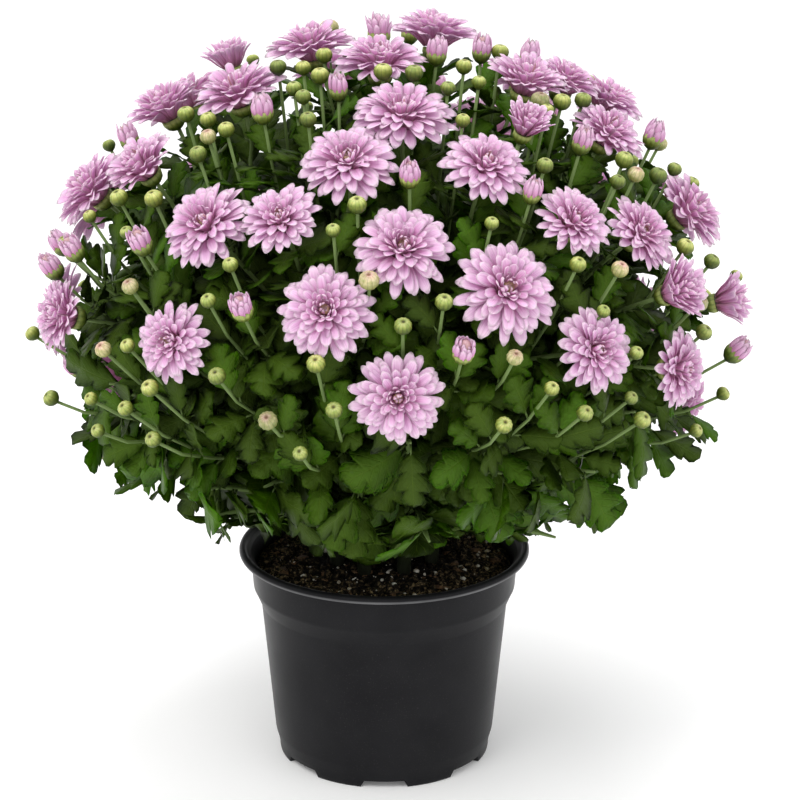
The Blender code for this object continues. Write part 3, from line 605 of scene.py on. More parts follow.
def centre_material():
    """The disc in the middle of a bloom: an olive-brown ring round a dusky pink top."""
    n = Nodes("bloom_centre")
    speckle = n.noise(n.place(), 900.0, 2.0)
    ring = n.ramp(n.number("along"), ((0.55, (0.34, 0.18, 0.16)), (0.72, (0.36, 0.24, 0.11)),
                                      (0.86, (0.50, 0.34, 0.22)), (1.0, (0.68, 0.44, 0.50))))
    shade = n.ramp(speckle, ((0.35, 0.55), (0.60, 1.0)))
    colour = n.mix(0.8, ring, shade, "MULTIPLY")
    n.bump(speckle, 0.6, 0.0005)
    return n.finish(colour, 0.7)


def leaf_material():
    """Leaves: fresh green with pale veins, greyer underneath. Their tone makes them darker and greyer or
    brighter and yellower from leaf to leaf: partly at random, partly painted light and shade by where the
    leaf sits on the plant.
    """
    n = Nodes("leaves")
    along, across = n.number("along"), n.number("across")
    tone, depth = n.number("tone"), n.number("depth")
    far = n.math("ABSOLUTE", across)
    patches = n.noise(n.place(), 90.0, 3.0)
    # Painted light and shade: a low tone gives a dark grey-green leaf, a high tone a bright saturated green
    # one
    body = n.ramp(tone, ((0.0, (0.020, 0.034, 0.006)), (0.45, (0.035, 0.075, 0.002)),
                         (0.75, (0.044, 0.122, 0.001)), (1.0, (0.058, 0.190, 0.001))))
    colour = n.mix(n.times(patches, 0.46), body, (0.022, 0.050, 0.002))
    slant = n.math("SUBTRACT", n.times(along, 6.5), n.times(far, 1.6))
    side_vein = n.math("ABSOLUTE", n.math("SUBTRACT", n.math("FRACT", slant), 0.5))
    vein = n.ramp(n.math("MINIMUM", n.times(far, 3.0), n.times(side_vein, 2.2)),
                  ((0.0, 1.0), (0.16, 0.0)))
    colour = n.mix(n.times(vein, 0.36), colour, (0.110, 0.175, 0.014))
    under = n.math("LESS_THAN", depth, -0.25)
    colour = n.mix(n.times(under, 0.50), colour, (0.055, 0.092, 0.012))
    relief = n.math("SUBTRACT", n.noise(n.place(), 420.0, 3.0), n.times(vein, 0.3))
    n.bump(relief, 0.70, 0.0009)
    rough = n.ramp(patches, ((0.3, 0.36), (0.7, 0.55)))
    return n.finish(colour, rough, Specular_IOR_Level=0.07)


def stalk_material():
    """Stems and stalks: darkened to near black at the soil as painted shade under the leaves, paler green
    towards the flowers, with fine ribs.
    """
    n = Nodes("stalks")
    along, across, tone = n.number("along"), n.number("across"), n.number("tone")
    grain = n.noise(n.vector(n.times(across, 9.0), along, n.times(tone, 19.0)), 4.0)
    # Painted shade: the stems are near black low down, where they stand in deep shade under the leaves
    body = n.ramp(along, ((0.0, (0.004, 0.004, 0.002)), (0.5, (0.075, 0.125, 0.022)),
                          (1.0, (0.185, 0.270, 0.085))))
    colour = n.mix(n.times(grain, n.times(along, 0.5)), body, (0.045, 0.080, 0.018))
    n.bump(n.math("SINE", n.times(across, 44.0)), 0.25, 0.0003)
    return n.finish(colour, 0.55, Specular_IOR_Level=0.25)


def bud_material():
    """Green buds and cups: darker green low down and pale yellow-green near the top, partly the bud's own
    colour and partly painted shade below and a painted highlight on the lit top, with painted shade in the
    valleys between the ribs and a small dark pit on top.
    Depth 0 is a green bud, and depth 1 one that fades to cream and pink."""
    n = Nodes("buds")
    along, across = n.number("along"), n.number("across")
    tone, depth = n.number("tone"), n.number("depth")
    rib = n.math("ABSOLUTE", n.math("COSINE", n.times(across, math.pi * RIBS)))
    # Partly the bud's own colour, partly painted light: darker low down as painted shade, and a pale band
    # near the top as a painted highlight
    body = n.ramp(along, ((0.0, (0.045, 0.070, 0.008)), (0.36, (0.095, 0.130, 0.012)),
                          (0.50, (0.230, 0.260, 0.040)), (0.62, (0.560, 0.580, 0.200)),
                          (0.74, (0.620, 0.610, 0.270)), (0.82, (0.360, 0.350, 0.090)),
                          (0.92, (0.100, 0.085, 0.018))))
    faded = n.ramp(along, ((0.0, (0.100, 0.140, 0.030)), (0.35, (0.360, 0.360, 0.130)),
                           (0.60, (0.700, 0.580, 0.380)), (0.78, (0.680, 0.420, 0.400)),
                           (0.92, (0.260, 0.110, 0.070))))
    colour = n.mix(depth, body, faded)
    # Painted shade in the valleys between the ribs
    shaded = n.ramp(rib, ((0.0, 0.58), (0.5, 1.0)))
    colour = n.mix(0.75, colour, shaded, "MULTIPLY")
    blotch = n.ramp(n.noise(n.place(), 420.0, 2.0), ((0.38, (0.55, 0.66, 0.40)), (0.60, (1.0, 1.0, 1.0))))
    colour = n.mix(0.8, colour, blotch, "MULTIPLY")
    blend = n.ramp(tone, ((0.0, (0.40, 0.48, 0.32)), (0.5, (0.84, 0.90, 0.78)), (1.0, (1.02, 1.00, 0.94))))
    colour = n.mix(1.0, colour, blend, "MULTIPLY")
    n.bump(n.noise(n.place(), 700.0, 2.0), 0.3, 0.0003)
    return n.finish(colour, 0.55, Specular_IOR_Level=0.4, Subsurface_Weight=0.08, Subsurface_Scale=0.002)


def pot_material():
    """Satin black plastic with faint moulding waves, fine dust and a painted highlight: a pale grey line
    along the lower edge of the lip.
    """
    n = Nodes("pot_plastic")
    where = n.place()
    cloud = n.noise(where, 38.0, 4.0)
    fine = n.noise(where, 1500.0, 2.0)
    colour = n.ramp(cloud, ((0.30, (0.0085, 0.0085, 0.0098)), (0.70, (0.0125, 0.0125, 0.0140))))
    height = n.node("ShaderNodeSeparateXYZ")
    n.link(where, height.inputs[0])
    # A painted highlight: a thin pale grey band along the lower edge of the lip, where the light catches it
    up_lip = n.math("DIVIDE", n.math("SUBTRACT", height.outputs[2], POT_HEIGHT - LIP_HEIGHT), LIP_HEIGHT)
    painted_highlight = n.ramp(up_lip, ((0.0, 0.0), (0.12, 1.0), (0.34, 0.8), (0.50, 0.0)))
    colour = n.mix(n.times(painted_highlight, n.math("ADD", cloud, 0.2)), colour, (0.17, 0.17, 0.175))
    dust = n.ramp(fine, ((0.62, 0.0), (0.74, 1.0)))
    colour = n.mix(n.times(dust, 0.10), colour, (0.16, 0.15, 0.14))
    rough = n.ramp(cloud, ((0.25, 0.30), (0.75, 0.42)))
    n.bump(n.math("ADD", n.times(fine, 0.25), cloud), 0.18, 0.0006)
    return n.finish(colour, rough, Specular_IOR_Level=0.085)


def soil_material():
    n = Nodes("peat")
    grain = n.noise(n.place(), 480.0, 5.0, 0.65)
    colour = n.ramp(grain, ((0.40, (0.003, 0.002, 0.001)), (0.52, (0.024, 0.017, 0.009)),
                            (0.66, (0.380, 0.275, 0.140))))
    # Painted shade: the soil is darkened under the plant, towards the middle, and paler near the rim
    middle = n.node("ShaderNodeVectorMath", operation="LENGTH")
    n.link(n.place(), middle.inputs[0])
    painted_shade_under_plant = n.ramp(n.times(middle.outputs["Value"], 5.0), ((0.605, 0.16), (0.645, 1.0)))
    colour = n.mix(1.0, colour, painted_shade_under_plant, "MULTIPLY")
    n.bump(grain, 0.9, 0.0012)
    return n.finish(colour, 0.95, Specular_IOR_Level=0.2)


def perlite_material():
    """White perlite, stained tan in places."""
    n = Nodes("perlite")
    grain = n.noise(n.place(), 1200.0, 3.0)
    stain = n.noise(n.place(), 260.0, 2.0)
    colour = n.ramp(stain, ((0.38, (0.34, 0.27, 0.14)), (0.58, (0.88, 0.85, 0.76))))
    n.bump(grain, 0.6, 0.0004)
    return n.finish(colour, 0.85)


def bark_material():
    n = Nodes("bark")
    fibres = n.noise(n.place(), 700.0, 4.0)
    colour = n.ramp(fibres, ((0.3, (0.030, 0.016, 0.006)), (0.7, (0.240, 0.130, 0.055))))
    n.bump(fibres, 0.7, 0.0006)
    return n.finish(colour, 0.85)


def floor_material():
    """A white table with a weak glow, so that it melts into the white behind it."""
    n = Nodes("table")
    soft = n.noise(n.place(), 3.0, 2.0)
    colour = n.ramp(soft, ((0.3, (0.94, 0.94, 0.94)), (0.7, (0.96, 0.96, 0.96))))
    return n.finish(colour, 0.6, Specular_IOR_Level=0.2, Emission_Color=(1.0, 1.0, 1.0, 1.0),
                    Emission_Strength=0.08)


# Blooms
def raised(angle, open_share):
    """The rise of a petal that stands at this angle in a bloom that is fully open."""
    return angle + (math.pi / 2 - angle) * (1 - open_share) * CLOSED_LIFT


def opened(radius, height, width, open_share):
    """A petal point for a bloom of this width: a bloom that is less open has its petals raised."""
    size = width / 2 / math.cos(raised(math.atan2(FIRST_TIP[1], FIRST_TIP[0]), open_share))
    rise = raised(math.atan2(height, radius), open_share)
    reach = math.hypot(radius, height) * size
    return reach * math.cos(rise), reach * math.sin(rise)


ALONG = np.linspace(0.0, 1.0, PETAL_ROWS)
OUTER_ACROSS = np.array((-1.0, -0.55, 0.0, 0.55, 1.0))
INNER_ACROSS = np.array((-1.0, -0.36, 0.36, 1.0))
OUTER_LAYERS = 3
PETAL_FACES = {len(across): grid_faces(PETAL_ROWS, len(across)) for across in (OUTER_ACROSS, INNER_ACROSS)}
# Share of the half width at each row: a narrow claw, then a spoon with a blunt tip
PETAL_WIDTH = np.array((0.40, 0.64, 0.86, 1.00, 1.00, 0.86, 0.46))


def calyx_radius(width):
    """Smaller blooms have a smaller calyx."""
    return min(CALYX_RADIUS, 0.0030 + 0.085 * width)


def petal_curve(width, open_share, layer, rng):
    """A petal's points out from the bloom's axis and up along it. The curve starts in the calyx, climbs, then
    leans out, and its tip curls up or in."""
    _, tip_r, tip_h, base_r, base_h, _, _, curl = layer
    claw = np.array((calyx_radius(width) * (0.12 + 0.76 * tip_r), 0.0030 * (1 - tip_r)))
    tip_r *= rng.uniform(0.90, 1.06)
    tip_h *= rng.uniform(0.70, 1.25)
    # A bloom that is less open has its inner petals nearly as tall as its outer ones
    shut = 1 - open_share
    taller = (1 + 0.9 * shut * (1 - tip_r)) * (1 + shut * rng.uniform(-0.28, 0.10))
    tip_r *= taller
    tip_h *= taller
    lean = shut * rng.uniform(-0.22, 0.12)
    tip_r, tip_h = tip_r - lean * tip_h, tip_h + lean * tip_r
    reach = tip_r - base_r
    rise = tip_h - base_h
    t = ALONG
    radius = base_r + reach * (t + 0.16 * np.sin(math.pi * t) * (0.5 - curl))
    height = base_h + rise * t + (0.10 + 0.30 * rise) * np.sin(math.pi * t ** 0.8) * 0.55 + curl * t**4 * 0.5
    radius = radius - np.maximum(curl, 0) * t**5 * 0.8
    curve = np.array([opened(max(r, 0.01), h, width, open_share) for r, h in zip(radius, height)])
    curve += (np.maximum(0, 1 - t / 0.4) ** 2)[:, None] * (claw - curve[0])
    # The petals of a bloom that is less open stand apart as in a fan, not in a tube
    fan = claw[0] + (curve[-1, 0] - claw[0]) * t ** (1 - 0.75 * shut)
    curve[:, 0] = np.maximum(curve[:, 0], fan)
    return curve


def petal_middle(width, open_share, layer, angle, across, rng):
    """A petal's middle surface: its curve in a plane through the bloom's axis, with the sides cupped."""
    half, cup = layer[5:7]
    shut = 1 - open_share
    curve = petal_curve(width, open_share, layer, rng)
    slope = np.gradient(curve, axis=0)
    slope /= np.linalg.norm(slope, axis=1, keepdims=True)
    lift = np.column_stack((-slope[:, 1], slope[:, 0]))
    span = half * width / 2 * PETAL_WIDTH * rng.uniform(0.92, 1.12) * (1.06 + 0.40 * shut)
    hollow = cup * span * rng.uniform(0.6, 1.3)
    roll = rng.uniform(-0.40, 0.40)
    out = np.array((math.cos(angle), math.sin(angle), 0.0))
    side = np.array((-math.sin(angle), math.cos(angle), 0.0))
    up = np.array((0.0, 0.0, 1.0))
    wave = across**2 * 1.15 - 0.16 * np.cos(across * math.pi * 1.8)
    pull_back = np.where(ALONG > 0.8, (ALONG - 0.8) * 0.9, 0.0)
    grid = np.zeros((PETAL_ROWS, len(across), 3))
    for i, (r, h) in enumerate(curve):
        tangent = out * slope[i, 0] + up * slope[i, 1]
        normal = out * lift[i, 0] + up * lift[i, 1]
        middle = out * r + up * h
        for j, s in enumerate(across):
            grid[i, j] = (middle + side * s * span[i] + normal * (hollow[i] * wave[j] + roll * s * span[i])
                          - tangent * pull_back[i] * s * s * half * width)
    return grid


def add_petal(shell, matrix, middle, across, tone, depth):
    points = placed_points(matrix, blade(middle, PETAL_THICKNESS))
    numbers = blade_numbers(PETAL_ROWS, len(across), ALONG, across, tone, depth)
    shell.add(points, PETAL_FACES[len(across)], numbers)


def bloom_petals(shell, matrix, width, open_share, rng):
    for number, layer in enumerate(PETAL_LAYERS):
        # Fewer of the petals of a bloom that is less open have grown out
        count = round(layer[0] * (0.45 + 0.55 * open_share))
        across = OUTER_ACROSS if number < OUTER_LAYERS else INNER_ACROSS
        turn = rng.uniform(0, 2 * math.pi)
        depth = min(0.97, (number / (len(PETAL_LAYERS) - 1)) ** 1.6)
        for k in range(count):
            angle = turn + (k + rng.uniform(-0.30, 0.30)) * 2 * math.pi / count
            middle = petal_middle(width, open_share, layer, angle, across, rng)
            add_petal(shell, matrix, middle, across, rng.random(), depth)


def bloom_core(shell, matrix, width, open_share):
    """The seat under the petals and the small dusky disc in their middle, as one turned body."""
    def at(r, h):
        return opened(r, h, width, open_share)
    base = calyx_radius(width)
    profile = [(0, 0.0002), (base * 0.70, 0.0006), (base * 0.62, 0.0040), at(CENTRE_RADIUS * 0.80, 0.30),
               at(CENTRE_RADIUS, CENTRE_HEIGHT * 0.92), at(CENTRE_RADIUS * 0.72, CENTRE_HEIGHT),
               (0, at(0.0001, CENTRE_HEIGHT * 0.95)[1])]
    lathed(shell, matrix, profile, CENTRE_SIDES, 0.5, CENTRE_SLOT)


def bloom_seat(node, axis):
    """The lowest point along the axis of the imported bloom, where its calyx holds it."""
    points = np.array([v.co for v in frame["nodes"][node].data.vertices])
    return Vector(points[np.argmin(points @ np.array(axis))])


def real_width(point, width):
    """A width read at the usual distance, made right for a flower that is nearer the eye or farther off."""
    return width * (point - EYE).length / WIDTHS_READ_AT


def bloom_list():
    """Every open bloom: its node, its width, how far open, its seat and its axis."""
    places = [(seen_on_dome(x, y), width, share) for x, y, width, share in SEEN_BLOOMS]
    seen = [(point, real_width(point, width), share) for point, width, share in places]
    rng = random.Random(SEED)
    hidden = back_places(BACK_BLOOMS, [point for point, _, _ in seen], LOWEST_BLOOM, 1.0)
    seen += [(p, rng.uniform(0.042, 0.056), rng.choice((1.0, 1.0, 0.95, 0.85))) for p in hidden]
    blooms = []
    for number, (point, width, share) in enumerate(seen):
        node = f"bloom_{number + 1:02d}"
        axis = outward(point)
        blooms.append((node, width * BLOOM_GROWTH, share, bloom_seat(node, axis) + axis * BLOOM_RAISE, axis))
    return blooms


def make_blooms(blooms, finishes):
    for number, (node, width, share, seat, axis) in enumerate(blooms):
        rng = random.Random(SEED * 1000 + number)
        shell = Shell()
        matrix = facing(seat, axis)
        bloom_petals(shell, matrix, width, share, rng)
        bloom_core(shell, matrix, width, share)
        piece = shell.piece(f"petals_{number + 1:02d}", finishes)
        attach(piece, "root")
        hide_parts(node)


# Stems and stalks
def bezier(p0, p1, p2, p3, t):
    s = 1 - t
    return p0 * s**3 + p1 * 3 * s * s * t + p2 * 3 * s * t * t + p3 * t**3


def stem_angle(sector):
    return math.radians(-90 + 360 / SECTORS * (sector + 0.5))


def main_stem_path(sector, count):
    """Up from the soil, then out towards the middle of its own share of the dome."""
    if sector == SECTORS:
        foot = Vector((0, 0, SOIL_LEVEL))
        tip = Vector((0, 0, MIDDLE_STEM_HEIGHT))
        bend, reach = tip.lerp(foot, 0.6), tip.lerp(foot, 0.3)
    else:
        angle = stem_angle(sector)
        side = Vector((math.cos(angle), math.sin(angle), 0))
        foot = side * STEM_CIRCLE + Vector((0, 0, SOIL_LEVEL))
        tip = side * STEM_TIP_CIRCLE + Vector((0, 0, STEM_TIP_HEIGHT))
        bend, reach = foot + Vector((0, 0, 0.0500)), tip - side * 0.0300 - Vector((0, 0, 0.0600))
    low = foot - Vector((0, 0, HOLE_DEPTH - CLEARANCE))
    high = foot + Vector((0, 0, 0.0060))
    return [low] + [bezier(high, bend, reach, tip, i / (count - 1)) for i in range(count)]


def nearest_stem(point):
    """The stem whose share of the dome holds this point."""
    p = point - DOME_MIDDLE
    if math.hypot(p.x, p.y) < MIDDLE_SHARE and p.z > 0:
        return SECTORS
    angle = math.atan2(p.y, p.x)
    return min(range(SECTORS), key=lambda s: abs(math.remainder(angle - stem_angle(s), 2 * math.pi)))


def stalk_path(spot, seat, axis, count):
    """From a spot on the main stem to a flower's seat, arriving along the flower's axis."""
    third = (seat - spot).length / 3
    start = (seat - spot).normalized() * 0.6 + Vector((0, 0, 0.4))
    bend, reach = spot + start * third, seat - axis * third
    return [bezier(spot, bend, reach, seat, i / (count - 1)) for i in range(count)]


def clear_of_blooms(path, blooms_tree):
    """Whether a path runs through no bloom before its own flower's seat."""
    for a, b in zip(path[:-2], path[1:-1]):
        run = b - a
        if blooms_tree.ray_cast(a, run.normalized(), run.length)[0]:
            return False
    return True


class Spots:
    """Free places along each main stem, where a stalk can start."""

    def __init__(self, paths):
        self.free = [
            [a.lerp(b, t / SPOTS_PER_RUN) for a, b in zip(path[2:], path[3:]) for t in range(SPOTS_PER_RUN)]
            for path in paths
        ]

    def nearest(self, sector, seat):
        """The free spots of a stem, best first: a stalk's usual length away, and not above the seat."""
        return sorted(self.free[sector],
                      key=lambda q: abs((q - seat).length - STALK_LENGTH) + 2 * max(0.0, q.z + 0.02 - seat.z))

    def path_to(self, seat, axis, point, blooms_tree):
        """The stem that bears this flower and a path to it from the best spot that is clear of blooms."""
        sector = nearest_stem(point)
        choices = self.nearest(sector, seat)
        for spot in choices:
            path = stalk_path(spot, seat, axis, STALK_POINTS)
            if clear_of_blooms(path, blooms_tree):
                break
        else:
            spot = choices[0]
            path = stalk_path(spot, seat, axis, STALK_POINTS)
        if len(self.free[sector]) > 1:
            self.free[sector].remove(spot)
        return sector, path


# Buds and cups
def green_cup(shell, matrix, radius, height, tone):
    """A round cup of narrow bracts with a hollow top, on its stalk."""
    profile = ((0, -0.0006), (STALK_RADIUS * 0.8, -0.0004), (radius * 0.52, height * 0.08),
               (radius * 0.82, height * 0.32), (radius * 0.97, height * 0.64), (radius * 0.96, height),
               (radius * 0.84, height * 0.93), (0, height * 0.80))
    lathed(shell, matrix, profile, BUD_SIDES, tone, BUD_SLOT, ribs=0.09)


def green_bud(shell, matrix, radius, tone, faded):
    """A ribbed ball with a small pit on top."""
    profile = ((0, -0.0006), (STALK_RADIUS * 0.8, -0.0004), (radius * 0.66, radius * 0.16),
               (radius * 0.95, radius * 0.56), (radius, radius * 0.94), (radius * 0.88, radius * 1.30),
               (radius * 0.60, radius * 1.56), (radius * 0.30, radius * 1.64), (radius * 0.14, radius * 1.56),
               (0, radius * 1.50))
    lathed(shell, matrix, profile, BUD_SIDES, tone, BUD_SLOT, ribs=0.07, depth=faded)


# Half open buds. Petals, then shares of the cup's radius: base radius, bulge, tip radius and half width of a
# petal, then base height and tip height as shares of the bud's length, and cup
BUNDLE_LAYERS = (
    (9, 0.80, 0.96, 0.74, 0.38, 0.28, 0.90, 0.50),
    (8, 0.66, 0.82, 0.56, 0.36, 0.34, 0.97, 0.55),
    (6, 0.44, 0.60, 0.36, 0.32, 0.38, 1.00, 0.60),
    (4, 0.20, 0.34, 0.16, 0.26, 0.42, 0.97, 0.60),
)
# The closed middle of the bundle, in shares of the cup's radius and of the bud's length
BUNDLE_CORE = ((0, 0.20), (0.50, 0.24), (0.68, 0.45), (0.62, 0.68), (0.36, 0.84), (0, 0.88))
BUNDLE_WIDTH = np.array((0.62, 0.88, 1.0, 0.98, 0.88, 0.64, 0.22))
WIDE_BUNDLE = 0.0166
CUP_SHARE = 0.46
BUNDLE_LENGTH = 0.0125


def bundle_petal(radius, length, spread, layer, angle, rng):
    """A pointed petal of a half open bud: it closes over the middle, or leans out where its bud is wide."""
    _, base_r, bulge, tip_r, half, base_h, tip_h, cup = layer
    tip_h *= rng.uniform(0.78, 1.05)
    tip_r += spread * bulge * rng.uniform(0.6, 1.2)
    t = ALONG
    swell = 4 * (bulge - (base_r + tip_r) / 2) * t * (1 - t)
    r = radius * (base_r + (tip_r - base_r) * t + np.maximum(swell, 0))
    h = length * (base_h + (tip_h - base_h) * t)
    span = radius * half * BUNDLE_WIDTH * rng.uniform(0.9, 1.1)
    out = np.array((math.cos(angle), math.sin(angle), 0.0))
    side = np.array((-math.sin(angle), math.cos(angle), 0.0))
    grid = np.zeros((PETAL_ROWS, len(INNER_ACROSS), 3))
    for i in range(PETAL_ROWS):
        for j, s in enumerate(INNER_ACROSS):
            wrap = cup * span[i] * s * s
            grid[i, j] = out * (r[i] - wrap) + side * s * span[i] + np.array((0, 0, h[i]))
    return grid[:, ::-1]


def half_open_bud(shell, petals, matrix, width, length, rng):
    """A green cup in one shell, and the pink bundle that it holds in another."""
    radius = 0.0028 + 0.20 * width
    spread = rng.uniform(-0.15, 0.20) + (0.50 if width > WIDE_BUNDLE else 0.0)
    green_cup(shell, matrix, radius, length * CUP_SHARE, rng.random() * 0.35)
    core = [(r * radius, h * length) for r, h in BUNDLE_CORE]
    lathed(petals, matrix, core, 12, 0.2, depth=0.95)
    for number, layer in enumerate(BUNDLE_LAYERS):
        turn = rng.uniform(0, 2 * math.pi)
        for k in range(layer[0]):
            angle = turn + (k + rng.uniform(-0.15, 0.15)) * 2 * math.pi / layer[0]
            middle = bundle_petal(radius, length, spread, layer, angle, rng)
            add_petal(petals, matrix, middle, INNER_ACROSS, rng.random(), 0.70 + 0.08 * number)


# Leaves
LEAF_ALONG = np.array([along for along, _, _ in LEAF_OUTLINE])
LEAF_SIDE = np.array([half for _, half, _ in LEAF_OUTLINE])
LEAF_LEAN = np.array([lean for _, _, lean in LEAF_OUTLINE])
LEAF_S = np.array((-1.0, 0.0, 1.0))
LEAF_FACES = grid_faces(len(LEAF_ALONG), len(LEAF_S))
ROUGH_FACES = [(i, i + 1, i + 4, i + 3) for i in range(3 * len(ROUGH_ROWS) - 3) if i % 3 < 2]


def leaf_middle(length, width, droop, fold, twist, rng):
    """A lobed blade along +X with its face up and its root at the origin."""
    a = LEAF_ALONG[:, None]
    s = LEAF_S[None, :]
    half = (LEAF_SIDE * rng.uniform(0.92, 1.08))[:, None] * length * width
    lean = LEAF_LEAN[:, None] * length * np.abs(s) * 1.4
    x = PETIOLE * length / LEAF_LENGTH + a * length + lean
    y = half * s
    ripple = 0.018 * length * np.sin(a * 17 + rng.uniform(0, 6)) * np.abs(s) ** 1.5
    z = (fold * np.abs(y) + ripple - droop * length * a * a * (1 + 0.2 * np.abs(s))
         - 0.30 * np.abs(y) * np.abs(y) / (length * width) * (1 if droop > 0.25 else 0.4))
    angle = twist * a
    y, z = y * np.cos(angle), z + y * np.sin(angle)
    return np.stack((x, y, z), axis=2)[:, ::-1]


def leaf_frame(root, along, face):
    x = along.normalized()
    y = face.cross(x).normalized()
    z = x.cross(y)
    return Matrix.Translation(root) @ Matrix((x, y, z)).transposed().to_4x4()


class Leaves:
    """Leaves that are set so far, so that no two cross."""

    def __init__(self, solids):
        self.solids = solids
        self.set = []

    def fits(self, points):
        """Whether a leaf's rough shape crosses no bloom and no other leaf. If so, it counts as set."""
        top = points[: len(LEAF_ALONG) * len(LEAF_S)].reshape(len(LEAF_ALONG), -1, 3)
        corners = [Vector(p) for p in top[list(ROUGH_ROWS)].reshape(-1, 3)]
        tree = BVHTree.FromPolygons(corners, ROUGH_FACES)
        middle = corners[len(corners) // 2]
        if tree.overlap(self.solids):
            return False
        for other_middle, other in self.set:
            if (other_middle - middle).length < NEAR_LEAF and tree.overlap(other):
                return False
        self.set.append((middle, tree))
        return True


def along_path(path, share):
    """A point on a path of straight runs and the way it heads there."""
    place = share * (len(path) - 1)
    i = min(int(place), len(path) - 2)
    return path[i].lerp(path[i + 1], place - i), (path[i + 1] - path[i]).normalized()


def seen_places(points):
    """Where the eye saw these points: across and down the picture."""
    sight = points - np.array(EYE)
    ahead = sight[:, 1] * math.cos(EYE_PITCH) - sight[:, 2] * math.sin(EYE_PITCH)
    upward = sight[:, 1] * math.sin(EYE_PITCH) + sight[:, 2] * math.cos(EYE_PITCH)
    return EYE_CENTRE[0] + EYE_SCALE * sight[:, 0] / ahead, EYE_CENTRE[1] - EYE_SCALE * upward / ahead


def too_low(points):
    """Whether a leaf touches the rim, hangs below the skirt, or passes the lower edge that the eye saw."""
    reach = np.hypot(points[:, 0], points[:, 1])
    low = points[:, 2] < POT_HEIGHT + 0.003
    if np.any(low & (reach > RIM_INNER_RADIUS - 0.004) & (reach < RIM_RADIUS + 0.004)):
        return True
    if np.any((reach > SKIRT_REACH[0]) & (points[:, 2] < np.interp(reach, SKIRT_REACH, SKIRT_HEIGHT))):
        return True
    across, down = seen_places(points)
    return np.any(down > np.interp(across, *zip(*SEEN_EDGE)))


def beyond_canopy(points):
    """Whether a leaf would reach up among the flowers."""
    p = (points - np.array(DOME_MIDDLE)) / np.array((DOME_RADIUS, DOME_RADIUS, DOME_HALF_HEIGHT))
    return np.any((points[:, 2] > CANOPY_FROM) & (np.linalg.norm(p, axis=1) > CANOPY))


def leaf_tone_and_painted_light(root, rng):
    # Painted light and shade: the tone rises for leaves far out from the dome's middle and for leaves low or
    # high on the plant, on top of a random spread
    light = in_dome_units(root).length
    lift = LOW_PAINTED_LIGHT if root.z < BRIGHT_BELOW else (HIGH_PAINTED_LIGHT if root.z > BRIGHT_ABOVE else 0.0)
    tone = rng.uniform(-TONE_SPREAD, TONE_SPREAD) + PAINTED_LIGHT_SLOPE * (light - PAINTED_LIGHT_MIDDLE) + lift
    return min(1.0, max(0.0, tone))


def add_leaf(plant, sector, root, along, face, length, droop):
    """A leaf with its own short stalk, if it has room. It says whether it was set."""
    rng = plant.rng
    middle = leaf_middle(length, LEAF_HALF_WIDTH * rng.uniform(0.85, 1.15), droop, rng.uniform(0.05, 0.45),
                         rng.uniform(-0.5, 0.5), rng)
    matrix = leaf_frame(root, along, face)
    points = placed_points(matrix, blade(middle, LEAF_THICKNESS))
    if too_low(points) or beyond_canopy(points) or not plant.leaves.fits(points):
        return False
    tone = leaf_tone_and_painted_light(root, rng)
    numbers = blade_numbers(len(LEAF_ALONG), len(LEAF_S), LEAF_ALONG, LEAF_S, tone, 0.0)
    plant.green[sector].add(points, LEAF_FACES, numbers)
    petiole = PETIOLE * length / LEAF_LENGTH
    stem = [root, matrix @ Vector((petiole * 0.6, 0, 0)),
            matrix @ Vector((petiole + length * 0.12, 0, -0.0002 - droop * length * 0.0144))]
    tube(plant.green[sector], stem, PETIOLE_RADII, 3, tone)
    return True


def set_leaf(plant, sector, path, share, turn, length, droop, hang):
    """A leaf from a stalk, turned round it, if it has room. It says whether it was set."""
    root, ahead = along_path(path, share)
    across = ahead.orthogonal().normalized()
    across.rotate(Quaternion(ahead, turn))
    out = outward(root)
    along = (ahead * 0.5 + across * 0.8 + out * 0.35 - Vector((0, 0, hang))).normalized()
    face = out + Vector((0, 0, 0.5 * (1 - hang)))
    return add_leaf(plant, sector, root, along, face, length, droop)


def at_reach(across, down, reach):
    """The first point of a sight line at this reach from the pot's axis, or else the nearest to the axis."""
    sight = sight_direction(across, down)
    flat = sight.x**2 + sight.y**2
    middle = -(EYE.x * sight.x + EYE.y * sight.y) / flat
    nearest = math.hypot(EYE.x + sight.x * middle, EYE.y + sight.y * middle)
    return EYE + sight * (middle - math.sqrt(max(0.0, reach**2 - nearest**2) / flat))


def leaves_along(plant, sector, path, count, start, sizes, droops, hangs=None):
    """Leaves spread along a path, from start on. Each is tried a few times until it has room."""
    rng = plant.rng
    for i in range(count):
        for _ in range(LEAF_TRIES):
            share = start + (1 - start) * (i + rng.random()) / count
            turn = rng.uniform(0, 2 * math.pi)
            length = LEAF_LENGTH * rng.uniform(*sizes)
            droop = rng.uniform(*droops)
            hang = rng.uniform(*hangs) if hangs else 0.0
            if set_leaf(plant, sector, path, share, turn, length, droop, hang):
                break


def low_leaf(plant, across, down, reach, hang):
    """A hanging leaf with its tip at this place, if it has room: the stem that bears it and its root."""
    rng = plant.rng
    tip = at_reach(across, down, reach)
    side = Vector((tip.x, tip.y, 0)).normalized()
    length = LEAF_LENGTH * rng.uniform(0.66, 0.88)
    along = (side * rng.uniform(0.35, 0.75) - Vector((0, 0, hang * 0.9))).normalized()
    root = tip - along * (length + PETIOLE * length / LEAF_LENGTH)
    sector = nearest_stem(tip)
    face = side + Vector((rng.uniform(-0.3, 0.3), 0, 0.5))
    if add_leaf(plant, sector, root, along, face, length, 0.05):
        return sector, root
    return None


